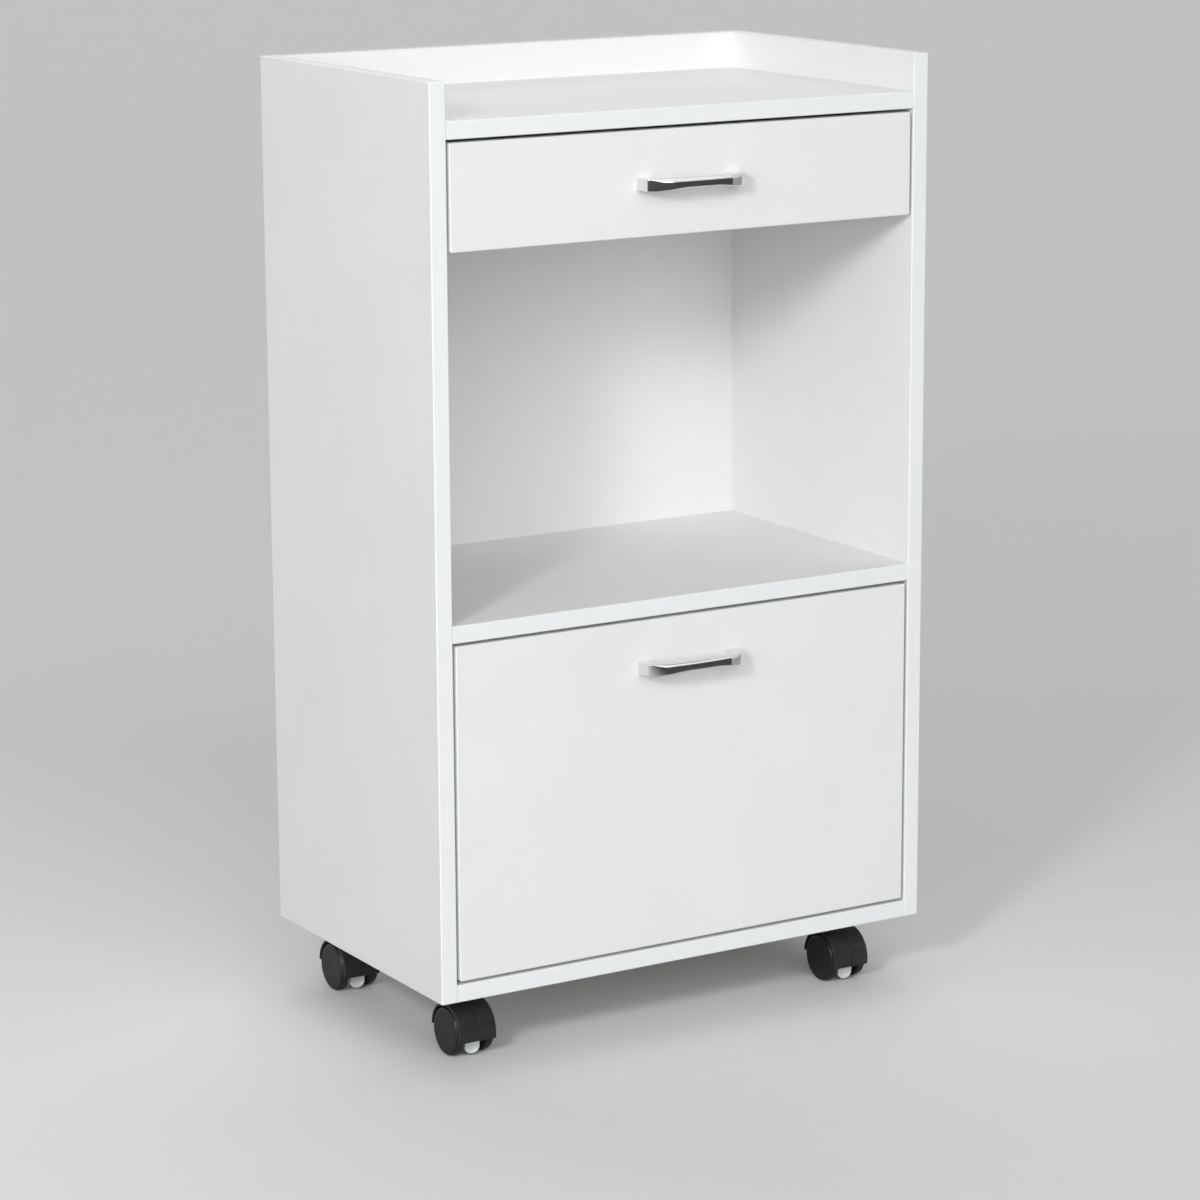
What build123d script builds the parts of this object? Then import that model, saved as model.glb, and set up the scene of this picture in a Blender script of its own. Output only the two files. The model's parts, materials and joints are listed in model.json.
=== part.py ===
from build123d import *
import math
import os

# Salon trolley: a white board cabinet on four twin-wheel castors, with a drawer, an open niche
# and a flap that drops down in front of the lower compartment.
# The origin is on the floor, under the middle of the whole trolley. X runs to the right, Y to the
# back and Z up, so the fronts look along -Y. All sizes are in millimetres.

os.makedirs("parts", exist_ok=True)

# Driving dimensions of the cabinet, whose depth follows from its drawer box
body_width = 520
body_height = 820
castor_height = 65
board = 16
gallery_height = 34
front_gap = 3
drawer_front_height = 94
shelf_height = 345
back_inset = 1
panel_rounding = 1.2
front_rounding = 1
front_corner = 2

# Room that cutting shapes run past what they cut, and room left at the end of a blind hole
cut_spare = 1
blind_room = 1

# Dowels, cam fittings and screws that hold the boards together
dowel_diameter = 8
dowel_length = 30
dowel_in_panel = 11
dowel_play = 0.1
dowel_front_inset = 30
dowel_back_inset = 26
back_dowel_spread = 200
back_dowel_heights = (98, 246, 410, 574)
cam_edge_inset = 100
cam_diameter = 15
cam_depth = 12.5
cam_reach = 34
cam_play = 0.1
cam_slot_width = 1.6
cam_slot_depth = 2
cam_bolt_diameter = 6
cam_bolt_in_panel = 11
cam_bolt_gap = 0.4
back_screw_step = 40
back_screw_diameter = 5
back_screw_length = 45
back_screw_head = 10
back_screw_head_depth = 3
screw_play = 0.05
cross_slot_share = 0.6
cross_slot_width = 1.2
cross_slot_depth = 1.2

# Handles
handle_spacing = 96
handle_length = 107
handle_height = 11.5
handle_reach = 26
handle_foot_width = 13.5
handle_side_lean = 2.3
handle_side_depth = 14
handle_bar_depth = 9.5
handle_waist_height = 8.1
handle_waist_flat = 20
handle_waist_end = 86
handle_bow_flat = 54
handle_bow_rise = 1.3
handle_edge_round = 0.8
handle_top_round = 3
flap_handle_drop = 43
handle_screw_diameter = 4
handle_screw_bite = 9
handle_screw_head = 8
handle_screw_head_height = 2.6

# Drawer box
drawer_wall = 12
drawer_wall_height = 70
drawer_box_depth = 262
drawer_rear_gap = 25
drawer_lift = 9
drawer_bottom_thickness = 3
drawer_bottom_height = 10
drawer_groove = 5
drawer_groove_play = 0.2
drawer_wall_rounding = 0.8
drawer_screw_diameter = 4
drawer_screw_length = 35
drawer_screw_head = 8
drawer_screw_head_depth = 1.5
drawer_screw_heights = (25, 55)
drawer_stud_diameter = 5
drawer_stud_in_front = 10
drawer_stud_in_side = 18

# Roller runners
runner_gap = 12.5
runner_length = 250
runner_start = 3
runner_drop = 3
runner_steel = 1.2
runner_floor_width = 9.5
runner_lip_height = 3
runner_roof_width = 6.5
roller_diameter = 18
roller_width = 5.5
roller_offset = 2.4
roller_play = 0.05
roller_end_inset = 12
roller_roof_play = 0.6
roller_lift = 1.25
roller_stop_gap = 6
roller_rounding = 0.6
roller_axle_diameter = 5
roller_axle_play = 0.05
roller_axle_head = 8
roller_axle_head_height = 0.4
runner_screw_inset = 40
runner_screw_diameter = 3.5
runner_screw_length = 14
runner_screw_head = 7
runner_screw_head_height = 0.5
runner_under_width = 11
runner_roof_gap = 1
under_screw_length = 9
under_screw_head_height = 1.6

# Flap, its pins, bushes, catch and stays
flap_pin_inset = 7
flap_pin_lift = 9
flap_pin_diameter = 5
flap_pin_in_panel = 11
flap_pin_reach = 10
flap_pin_play = 0.05
flap_bush_diameter = 8
flap_bush_length = 12
catch_width = 46
catch_depth = 15
catch_height = 14
catch_magnet_width = 26
catch_magnet_height = 6
catch_magnet_stand = 0.8
catch_screw_spread = 36
catch_air = 0.3
strike_width = 40
strike_height = 13
strike_thickness = 1.5
strike_screw_spread = 26
strike_edge_gap = 2
stay_radius = 150
stay_apex = 30
stay_pivot_stand = 10
stay_bar_width = 14
stay_bar_thickness = 2
stay_bar_inset = 4
stay_bar_end = 6
stay_slot_play = 0.3
stay_slot_spare = 2
stay_stud_diameter = 6
stay_stud_head = 12
stay_stud_head_height = 2
stay_stud_in_panel = 11
stay_side_play = 0.5
stay_bracket_steel = 2
stay_bracket_width = 22
stay_bracket_height = 34
stay_bracket_screw_spread = 22
stay_ear_edge = 1
stay_rivet_diameter = 5
stay_rivet_play = 0.05
stay_rivet_head = 9
stay_rivet_head_height = 1.2
fitting_screw_diameter = 3.5
fitting_screw_length = 12
fitting_screw_head = 7
fitting_screw_head_height = 1.4
flap_opening_angle = 90

# Castors
castor_side_inset = 55
castor_shift = -7
castor_front_inset = 59
castor_back_inset = 38
castor_trail = 12
wheel_diameter = 45
wheel_width = 8
wheel_pair_width = 40
wheel_wall = 3
wheel_rim = 3.3
wheel_hub_radius = 5
wheel_edge_round = 1.2
wheel_dish_depth = 0.8
wheel_dish_inset = 4
wheel_ridge_width = 1.6
hood_radius = 26.6
hood_wall = 2.3
hood_width = 38.4
hood_front_droop = 12
hood_back_droop = -2
hood_rounding = 0.7
hood_root = 0.8
hood_seam_width = 0.5
hood_seam_depth = 0.4
web_thickness = 10
web_front = 7
web_drop = 8
neck_radius = 8.5
neck_floor = 5
neck_gap = 0.2
axle_diameter = 5
axle_end_gap = 0.4
axle_play = 0.05
axle_seat_play = 0.02
hub_side_play = 0.3
king_pin_diameter = 8
king_pin_play = 0.05
king_pin_floor = 9
plate_size = 42
plate_thickness = 2.5
plate_corner = 5
plate_screw_spread = 32
plate_race_radius = 10
plate_race_height = 0.7
plate_screw_diameter = 4
plate_screw_length = 15
plate_screw_head = 8
plate_screw_head_height = 2
pedal_pivot_forward = 12
pedal_pivot_up = 9.5
pedal_hub_radius = 3.4
pedal_pin_diameter = 2.6
pedal_pin_play = 0.05
pedal_width = 15.2
pedal_thickness = 4.2
pedal_forward = 12
pedal_floor_gap = 2.6
pedal_corner = 7
pedal_rounding = 1
pedal_bar_radius = 1.6
pedal_bar_drop = 6.5
pedal_bar_forward = 12.6
pedal_bar_reach = 2.4
ear_thickness = 2
ear_play = 0.4
ear_radius = 4.2

# Places worked out from the sizes above
SIDES = (("left", -1), ("right", 1))
inner_half_width = body_width / 2 - board
inner_depth = board + drawer_box_depth + drawer_rear_gap
body_depth = inner_depth + board + back_inset
front_y = handle_reach - (body_depth + handle_reach) / 2
back_y = front_y + body_depth
back_face_y = front_y + inner_depth
body_z = castor_height
top_z = body_z + body_height
tray_z = top_z - gallery_height
top_board_z = tray_z - board
shelf_z = body_z + shelf_height - board
bottom_top_z = body_z + board
drawer_top_z = top_board_z - front_gap
drawer_low_z = drawer_top_z - drawer_front_height
flap_low_z = bottom_top_z + front_gap
flap_top_z = shelf_z - front_gap
flap_height = flap_top_z - flap_low_z
front_width = 2 * (inner_half_width - front_gap)
LEVEL_BOARDS = (("bottom_board", body_z), ("middle_shelf", shelf_z), ("top_board", top_board_z))

# Where dowels, cams and back screws sit in the joints between the boards
dowel_rows_y = (front_y + dowel_front_inset, back_face_y - dowel_back_inset)
cam_rows_y = (front_y + cam_edge_inset, back_face_y - cam_edge_inset)
back_mid_y = back_face_y + board / 2
back_dowel_z = [body_z + height for height in back_dowel_heights]
side_dowel_spots = [(y, z + board / 2) for y in dowel_rows_y for name, z in LEVEL_BOARDS]
side_dowel_spots += [(back_mid_y, z) for z in back_dowel_z]
side_cam_spots = [(y, z + board / 2) for y in cam_rows_y for name, z in LEVEL_BOARDS]
dowel_shift = dowel_length / 2 - dowel_in_panel
cam_bolt_end = cam_reach - cam_diameter / 2 - cam_bolt_gap
cam_bolt_length = cam_bolt_end + cam_bolt_in_panel
cam_bolt_shift = (cam_bolt_end - cam_bolt_in_panel) / 2
back_dowel_x = (-back_dowel_spread / 2, back_dowel_spread / 2)
back_screw_x = (back_dowel_x[0] - back_screw_step, 0, back_dowel_x[1] + back_screw_step)

# Where the drawer box and its runners sit
drawer_back_face_y = front_y + board
drawer_half_width = inner_half_width - runner_gap
drawer_floor_z = drawer_low_z + drawer_lift
drawer_mid_y = drawer_back_face_y + drawer_box_depth / 2
drawer_end_y = drawer_back_face_y + drawer_box_depth
drawer_panel_z = drawer_floor_z + drawer_bottom_height
drawer_screws_z = [drawer_floor_z + height for height in drawer_screw_heights]
drawer_screw_y = drawer_end_y - drawer_wall / 2
runner_y = drawer_back_face_y + runner_start
runner_z = drawer_floor_z - runner_drop
runner_floor_z = runner_z + runner_steel
runner_roof_z = runner_floor_z + roller_diameter + roller_roof_play
roller_radius = roller_diameter / 2
drawer_roller_y = runner_y + runner_length - roller_end_inset
drawer_roller_z = runner_floor_z + roller_play + roller_radius
cabinet_roller_y = runner_y + roller_end_inset
cabinet_roller_z = runner_roof_z + runner_steel + roller_lift - roller_radius
drawer_flange_z = cabinet_roller_z + roller_radius + roller_play
drawer_web_top_z = drawer_flange_z + runner_steel
drawer_travel = drawer_roller_y - cabinet_roller_y - roller_diameter - roller_stop_gap
runner_screws_y = (runner_y + runner_screw_inset, runner_y + runner_length / 2,
                   runner_y + runner_length - runner_screw_inset)
runner_screw_z = runner_floor_z + roller_radius

# Where the flap turns, and the triangle of each stay: pin, pivot on the flap, stud on the side
hinge_y = front_y + flap_pin_inset
hinge_z = flap_low_z + flap_pin_lift
flap_back_y = front_y + board
pivot_y = flap_back_y + stay_pivot_stand
pivot_z = hinge_z + math.sqrt(stay_radius ** 2 - (pivot_y - hinge_y) ** 2)
pivot_lean = math.asin((pivot_y - hinge_y) / stay_radius)
stud_lean = pivot_lean + math.radians(stay_apex)
stud_y = hinge_y + stay_radius * math.sin(stud_lean)
stud_z = hinge_z + stay_radius * math.cos(stud_lean)
closed_span = 2 * stay_radius * math.sin(math.radians(stay_apex) / 2)
open_span = 2 * stay_radius * math.sin(math.radians(stay_apex + flap_opening_angle) / 2)
stay_slope = math.degrees(math.atan2(stud_z - pivot_z, stud_y - pivot_y))
stay_slot_radius = stay_stud_diameter / 2 + stay_slot_play
stay_slot_start = closed_span - stay_slot_spare
stay_bar_tip = open_span + stay_slot_radius + stay_bar_end
stay_outer_x = inner_half_width - stay_bar_inset
stay_inner_x = stay_outer_x - stay_bar_thickness
stay_ear_x = stay_inner_x - stay_side_play
catch_face_y = flap_back_y + strike_thickness + catch_air
catch_mid_y = catch_face_y + catch_magnet_stand + catch_depth / 2
catch_mid_z = shelf_z - catch_height / 2
catch_low_z = shelf_z - catch_height
strike_z = flap_top_z - strike_edge_gap - strike_height / 2
strike_screws_x = (-strike_screw_spread / 2, strike_screw_spread / 2)
bracket_mid_x = stay_ear_x - stay_bracket_steel - (stay_bracket_width - stay_bracket_steel) / 2
bracket_screws_z = (pivot_z - stay_bracket_screw_spread / 2, pivot_z + stay_bracket_screw_spread / 2)

# Where the handles and castors sit
drawer_handle_z = drawer_low_z + drawer_front_height / 2
flap_handle_z = flap_top_z - flap_handle_drop
castor_x = body_width / 2 - castor_side_inset
CASTORS = (
    ("front_left", castor_shift - castor_x, front_y + castor_front_inset),
    ("front_right", castor_shift + castor_x, front_y + castor_front_inset),
    ("back_left", castor_shift - castor_x, back_y - castor_back_inset),
    ("back_right", castor_shift + castor_x, back_y - castor_back_inset),
)
castor_centres = [(x, y) for name, x, y in CASTORS]
plate_low_z = body_z - plate_thickness

# The parts of one castor, measured from the floor under its king pin
wheel_radius = wheel_diameter / 2
wheel_outer_x = wheel_pair_width / 2
wheel_inner_x = wheel_outer_x - wheel_width
wheel_wall_x = wheel_outer_x - wheel_wall
axle_y = -castor_trail
axle_z = wheel_radius
axle_plane = Plane(origin=(0, axle_y, axle_z), x_dir=(1, 0, 0), z_dir=(0, -1, 0))
hood_inner_radius = hood_radius - hood_wall
neck_top_z = plate_low_z - plate_race_height - neck_gap
king_pin_low_z = axle_z + king_pin_floor
pedal_pivot_y = axle_y - pedal_pivot_forward
pedal_pivot_z = axle_z + pedal_pivot_up

# The two side panels, drilled on the inside for dowels, cam bolts, flap pins and stay studs
for side, sign in SIDES:
    with BuildPart() as side_panel:
        with BuildSketch(Plane.YZ.offset(sign * inner_half_width)):
            with Locations((front_y + body_depth / 2, body_z + body_height / 2)):
                Rectangle(body_depth, body_height)
        extrude(amount=sign * board)
        fillet(side_panel.edges(), panel_rounding)
        inside_x = sign * inner_half_width
        with Locations(*[(inside_x, y, z) for y, z in side_dowel_spots]):
            Cylinder(dowel_diameter / 2 + dowel_play, 2 * dowel_in_panel, rotation=(0, 90, 0),
                     mode=Mode.SUBTRACT)
        with Locations(*[(inside_x, y, z) for y, z in side_cam_spots]):
            Cylinder(cam_bolt_diameter / 2 + cam_play, 2 * cam_bolt_in_panel, rotation=(0, 90, 0),
                     mode=Mode.SUBTRACT)
        with Locations(*[(inside_x, y, runner_screw_z) for y in runner_screws_y]):
            Cylinder(runner_screw_diameter / 2 + screw_play, 2 * (runner_screw_length - runner_steel),
                     rotation=(0, 90, 0), mode=Mode.SUBTRACT)
        with Locations((inside_x, hinge_y, hinge_z)):
            Cylinder(flap_pin_diameter / 2 + screw_play, 2 * flap_pin_in_panel, rotation=(0, 90, 0),
                     mode=Mode.SUBTRACT)
        with Locations((inside_x, stud_y, stud_z)):
            Cylinder(stay_stud_diameter / 2 + screw_play, 2 * stay_stud_in_panel, rotation=(0, 90, 0),
                     mode=Mode.SUBTRACT)
    side_panel.part.label = f"{side}_side_panel"
    export_step(side_panel.part, f"parts/{side}_side_panel.step")

# The back panel stands between the sides and carries dowels and screws into the level boards
with BuildPart() as back_panel:
    with BuildSketch(Plane.XY.offset(body_z)):
        with Locations((0, back_mid_y)):
            Rectangle(2 * inner_half_width, board)
    extrude(amount=body_height)
    fillet(back_panel.edges().filter_by(Axis.X), panel_rounding)
    for sign in (-1, 1):
        with Locations(*[(sign * inner_half_width, back_mid_y, z) for z in back_dowel_z]):
            Cylinder(dowel_diameter / 2 + dowel_play, 2 * (dowel_length - dowel_in_panel),
                     rotation=(0, 90, 0), mode=Mode.SUBTRACT)
    with Locations(*[(x, back_face_y, z + board / 2) for x in back_dowel_x for name, z in LEVEL_BOARDS]):
        Cylinder(dowel_diameter / 2 + dowel_play, 2 * dowel_in_panel, rotation=(90, 0, 0),
                 mode=Mode.SUBTRACT)
    with Locations(*[(x, back_mid_y, z + board / 2) for x in back_screw_x for name, z in LEVEL_BOARDS]):
        Cylinder(back_screw_diameter / 2 + screw_play, board, rotation=(90, 0, 0), mode=Mode.SUBTRACT)
    with Locations(*[(x, back_face_y + board, z + board / 2) for x in back_screw_x
                     for name, z in LEVEL_BOARDS]):
        Cylinder(back_screw_head / 2 + screw_play, 2 * back_screw_head_depth, rotation=(90, 0, 0),
                 mode=Mode.SUBTRACT)
back_panel.part.label = "back_panel"
export_step(back_panel.part, "parts/back_panel.step")

# The bottom board, the shelf and the top board, each between the sides and flush at the front
for board_name, board_z in LEVEL_BOARDS:
    mid_z = board_z + board / 2
    with BuildPart() as level_board:
        with BuildSketch(Plane.XY.offset(board_z)):
            with Locations((0, front_y + inner_depth / 2)):
                Rectangle(2 * inner_half_width, inner_depth)
        extrude(amount=board)
        front_edges = level_board.edges().filter_by(Axis.X).group_by(Axis.Y)[0]
        fillet(front_edges, panel_rounding)
        for sign in (-1, 1):
            end_x = sign * inner_half_width
            with Locations(*[(end_x, y, mid_z) for y in dowel_rows_y]):
                Cylinder(dowel_diameter / 2 + dowel_play, 2 * (dowel_length - dowel_in_panel),
                         rotation=(0, 90, 0), mode=Mode.SUBTRACT)
            with Locations(*[(end_x, y, mid_z) for y in cam_rows_y]):
                Cylinder(cam_bolt_diameter / 2 + cam_play, 2 * cam_reach, rotation=(0, 90, 0),
                         mode=Mode.SUBTRACT)
            with Locations(*[(end_x - sign * cam_reach, y, board_z) for y in cam_rows_y]):
                Cylinder(cam_diameter / 2 + cam_play, 2 * (cam_depth + cam_play), mode=Mode.SUBTRACT)
        with Locations(*[(x, back_face_y, mid_z) for x in back_dowel_x]):
            Cylinder(dowel_diameter / 2 + dowel_play, 2 * (dowel_length - dowel_in_panel),
                     rotation=(90, 0, 0), mode=Mode.SUBTRACT)
        with Locations(*[(x, back_face_y, mid_z) for x in back_screw_x]):
            Cylinder(back_screw_diameter / 2 + screw_play, 2 * (back_screw_length - board),
                     rotation=(90, 0, 0), mode=Mode.SUBTRACT)
        if board_name == "bottom_board":
            with BuildSketch(Plane.XY.offset(board_z)):
                with Locations(*castor_centres):
                    with GridLocations(plate_screw_spread, plate_screw_spread, 2, 2):
                        Circle(plate_screw_diameter / 2 + screw_play)
            extrude(amount=plate_screw_length - plate_thickness, mode=Mode.SUBTRACT)
        if board_name == "middle_shelf":
            with BuildSketch(Plane.XY.offset(board_z)):
                with Locations((0, catch_mid_y)):
                    with GridLocations(catch_screw_spread, 0, 2, 1):
                        Circle(fitting_screw_diameter / 2 + screw_play)
            extrude(amount=fitting_screw_length + blind_room, mode=Mode.SUBTRACT)
    level_board.part.label = board_name
    export_step(level_board.part, f"parts/{board_name}.step")

# Wooden dowels of all the board joints
with BuildPart() as panel_dowels:
    for sign in (-1, 1):
        with Locations(*[(sign * (inner_half_width - dowel_shift), y, z) for y, z in side_dowel_spots]):
            Cylinder(dowel_diameter / 2, dowel_length, rotation=(0, 90, 0))
    with Locations(*[(x, back_face_y - dowel_shift, z + board / 2) for x in back_dowel_x
                     for name, z in LEVEL_BOARDS]):
        Cylinder(dowel_diameter / 2, dowel_length, rotation=(90, 0, 0))
panel_dowels.part.label = "panel_dowels"
export_step(panel_dowels.part, "parts/panel_dowels.step")

# Cam fittings: a bolt in each side panel and a slotted cam in the underside of the level board
with BuildPart() as cam_fittings:
    for sign in (-1, 1):
        with Locations(*[(sign * (inner_half_width - cam_bolt_shift), y, z) for y, z in side_cam_spots]):
            Cylinder(cam_bolt_diameter / 2, cam_bolt_length, rotation=(0, 90, 0))
        cam_x = sign * (inner_half_width - cam_reach)
        with Locations(*[(cam_x, y, z - board / 2 + cam_depth / 2) for y, z in side_cam_spots]):
            Cylinder(cam_diameter / 2, cam_depth)
        cam_slot = cross_slot_share * cam_diameter
        with Locations(*[(cam_x, y, z - board / 2) for y, z in side_cam_spots]):
            Box(cam_slot, cam_slot_width, 2 * cam_slot_depth, mode=Mode.SUBTRACT)
            Box(cam_slot_width, cam_slot, 2 * cam_slot_depth, mode=Mode.SUBTRACT)
cam_fittings.part.label = "cam_fittings"
export_step(cam_fittings.part, "parts/cam_fittings.step")

# Screws through the back panel into the rear ends of the level boards, with recessed heads
with BuildPart() as back_screws:
    screw_spots = [(x, z + board / 2) for x in back_screw_x for name, z in LEVEL_BOARDS]
    head_y = back_face_y + board - back_screw_head_depth / 2
    shank_y = back_face_y + board - back_screw_length / 2
    with Locations(*[(x, shank_y, z) for x, z in screw_spots]):
        Cylinder(back_screw_diameter / 2, back_screw_length, rotation=(90, 0, 0))
    with Locations(*[(x, head_y, z) for x, z in screw_spots]):
        Cylinder(back_screw_head / 2, back_screw_head_depth, rotation=(90, 0, 0))
    back_screw_slot = cross_slot_share * back_screw_head
    with Locations(*[(x, back_face_y + board, z) for x, z in screw_spots]):
        Box(back_screw_slot, 2 * cross_slot_depth, cross_slot_width, mode=Mode.SUBTRACT)
        Box(cross_slot_width, 2 * cross_slot_depth, back_screw_slot, mode=Mode.SUBTRACT)
back_screws.part.label = "back_screws"
export_step(back_screws.part, "parts/back_screws.step")


def handle_blank(centre_z):
    """A bow handle on the front face: its plan shape, cut from below to a waist and well rounded
    along the top of its front."""
    half = handle_length / 2
    low_z = centre_z - handle_height / 2
    bow = handle_bow_flat / 2
    shoulder = half - handle_side_lean
    foot_in = half - handle_foot_width
    bar_back = handle_reach - handle_bar_depth
    elbow = (foot_in - handle_side_lean, front_y - handle_side_depth + handle_side_lean)
    with BuildPart() as handle:
        with BuildSketch(Plane.XY.offset(low_z)):
            with BuildLine():
                bow_y = front_y - handle_reach + handle_bow_rise
                front = ThreePointArc((-bow, bow_y), (0, front_y - handle_reach), (bow, bow_y))
                right_end = TangentArc(front @ 1, (shoulder, front_y - handle_side_depth),
                                       tangent=front % 1)
                left_end = TangentArc(front @ 0, (-shoulder, front_y - handle_side_depth),
                                      tangent=-(front % 0))
                rear_y = front_y - bar_back + handle_bow_rise
                rear = ThreePointArc((-bow, rear_y), (0, front_y - bar_back), (bow, rear_y))
                right_bend = TangentArc(rear @ 1, elbow, tangent=rear % 1)
                left_bend = TangentArc(rear @ 0, (-elbow[0], elbow[1]), tangent=-(rear % 0))
                Polyline(right_end @ 1, (half, front_y), (foot_in, front_y), right_bend @ 1)
                Polyline(left_end @ 1, (-half, front_y), (-foot_in, front_y), left_bend @ 1)
            make_face()
        extrude(amount=handle_height)
        with BuildSketch(Plane.XZ.offset(-front_y)):
            with BuildLine():
                flat = handle_waist_flat / 2
                end = handle_waist_end / 2
                waist = low_z + handle_height - handle_waist_height
                halfway = ((flat + end) / 2, (low_z + waist) / 2)
                Line((-flat, waist), (flat, waist))
                TangentArc((flat, waist), halfway, tangent=(1, 0))
                TangentArc((end, low_z), halfway, tangent=(-1, 0))
                TangentArc((-flat, waist), (-halfway[0], halfway[1]), tangent=(-1, 0))
                TangentArc((-end, low_z), (-halfway[0], halfway[1]), tangent=(1, 0))
                past = low_z - cut_spare
                Polyline((end, low_z), (end, past), (-end, past), (-end, low_z))
            make_face()
        extrude(amount=handle_reach + cut_spare, mode=Mode.SUBTRACT)
        top_edges = handle.faces().sort_by(Axis.Z)[-1].edges()
        bow_back = front_y - bar_back - handle_edge_round
        fillet(top_edges.filter_by(lambda edge: edge.center().Y < bow_back), handle_top_round)
        free_edges = handle.edges().filter_by(lambda edge: edge.center().Y < front_y - handle_edge_round)
        fillet(free_edges, handle_edge_round)
        with Locations(*[(x, front_y, centre_z) for x in (-handle_spacing / 2, handle_spacing / 2)]):
            Cylinder(handle_screw_diameter / 2 + screw_play, 2 * handle_screw_bite, rotation=(90, 0, 0),
                     mode=Mode.SUBTRACT)
    return handle.part


def handle_screw_pair(centre_z):
    """The two pan-head screws that hold a handle from behind its front panel."""
    shank_length = board + handle_screw_bite - blind_room
    slot = cross_slot_share * handle_screw_head
    with BuildPart() as screws:
        for x in (-handle_spacing / 2, handle_spacing / 2):
            with Locations((x, flap_back_y - shank_length / 2, centre_z)):
                Cylinder(handle_screw_diameter / 2, shank_length, rotation=(90, 0, 0))
            with Locations((x, flap_back_y + handle_screw_head_height / 2, centre_z)):
                Cylinder(handle_screw_head / 2, handle_screw_head_height, rotation=(90, 0, 0))
            with Locations((x, flap_back_y + handle_screw_head_height, centre_z)):
                Box(slot, 2 * cross_slot_depth, cross_slot_width, mode=Mode.SUBTRACT)
                Box(cross_slot_width, 2 * cross_slot_depth, slot, mode=Mode.SUBTRACT)
    return screws.part


def front_blank(low_z, height, handle_z):
    """A front panel with rounded corners and edges, drilled for its handle screws."""
    with BuildPart() as front:
        with BuildSketch(Plane.XZ.offset(-front_y)):
            with Locations((0, low_z + height / 2)):
                RectangleRounded(front_width, height, front_corner)
        extrude(amount=-board)
        fillet(front.faces().sort_by(Axis.Y)[0].edges(), front_rounding)
        with Locations(*[(x, front_y, handle_z) for x in (-handle_spacing / 2, handle_spacing / 2)]):
            Cylinder(handle_screw_diameter / 2 + screw_play, 3 * board, rotation=(90, 0, 0),
                     mode=Mode.SUBTRACT)
    return front.part


# The two handles and the screws behind them
drawer_handle = handle_blank(drawer_handle_z)
drawer_handle.label = "drawer_handle"
export_step(drawer_handle, "parts/drawer_handle.step")

flap_handle = handle_blank(flap_handle_z)
flap_handle.label = "flap_handle"
export_step(flap_handle, "parts/flap_handle.step")

drawer_handle_screws = handle_screw_pair(drawer_handle_z)
drawer_handle_screws.label = "drawer_handle_screws"
export_step(drawer_handle_screws, "parts/drawer_handle_screws.step")

# The drawer front, grooved at the back for the drawer bottom
groove_z = drawer_panel_z - drawer_groove_play / 2
groove_height = drawer_bottom_thickness + drawer_groove_play
groove_width = 2 * (drawer_half_width - drawer_wall + drawer_groove)
drawer_wall_x = [sign * (drawer_half_width - drawer_wall / 2) for sign in (-1, 1)]
with BuildPart() as drawer_front:
    add(front_blank(drawer_low_z, drawer_front_height, drawer_handle_z))
    with BuildSketch(Plane.XY.offset(groove_z)):
        with Locations((0, drawer_back_face_y)):
            Rectangle(groove_width, 2 * drawer_groove)
    extrude(amount=groove_height, mode=Mode.SUBTRACT)
    with Locations(*[(x, drawer_back_face_y, z) for x in drawer_wall_x for z in drawer_screws_z]):
        Cylinder(drawer_stud_diameter / 2 + screw_play, 2 * drawer_stud_in_front, rotation=(90, 0, 0),
                 mode=Mode.SUBTRACT)
drawer_front.part.label = "drawer_front"
export_step(drawer_front.part, "parts/drawer_front.step")

# The drawer sides, each grooved inside for the bottom
for side, sign in SIDES:
    wall_x = sign * (drawer_half_width - drawer_wall / 2)
    wall_in_x = sign * (drawer_half_width - drawer_wall)
    with BuildPart() as drawer_side:
        with BuildSketch(Plane.XY.offset(drawer_floor_z)):
            with Locations((wall_x, drawer_mid_y)):
                Rectangle(drawer_wall, drawer_box_depth)
        extrude(amount=drawer_wall_height)
        top_edges = drawer_side.faces().sort_by(Axis.Z)[-1].edges().filter_by(Axis.Y)
        fillet(top_edges, drawer_wall_rounding)
        with BuildSketch(Plane.XY.offset(groove_z)):
            with Locations((wall_in_x, drawer_mid_y)):
                Rectangle(2 * drawer_groove, drawer_box_depth)
        extrude(amount=groove_height, mode=Mode.SUBTRACT)
        with Locations(*[(sign * drawer_half_width, drawer_screw_y, z) for z in drawer_screws_z]):
            Cylinder(drawer_screw_diameter / 2 + screw_play, 2 * (drawer_wall + cut_spare),
                     rotation=(0, 90, 0), mode=Mode.SUBTRACT)
            Cylinder(drawer_screw_head / 2 + screw_play, 2 * drawer_screw_head_depth,
                     rotation=(0, 90, 0), mode=Mode.SUBTRACT)
        with Locations(*[(wall_x, drawer_back_face_y, z) for z in drawer_screws_z]):
            Cylinder(drawer_stud_diameter / 2 + screw_play, 2 * drawer_stud_in_side,
                     rotation=(90, 0, 0), mode=Mode.SUBTRACT)
        with Locations(*[(wall_x, y, drawer_floor_z) for y in runner_screws_y]):
            Cylinder(runner_screw_diameter / 2 + screw_play, 2 * under_screw_length, mode=Mode.SUBTRACT)
    drawer_side.part.label = f"drawer_side_{side}"
    export_step(drawer_side.part, f"parts/drawer_side_{side}.step")

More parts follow.
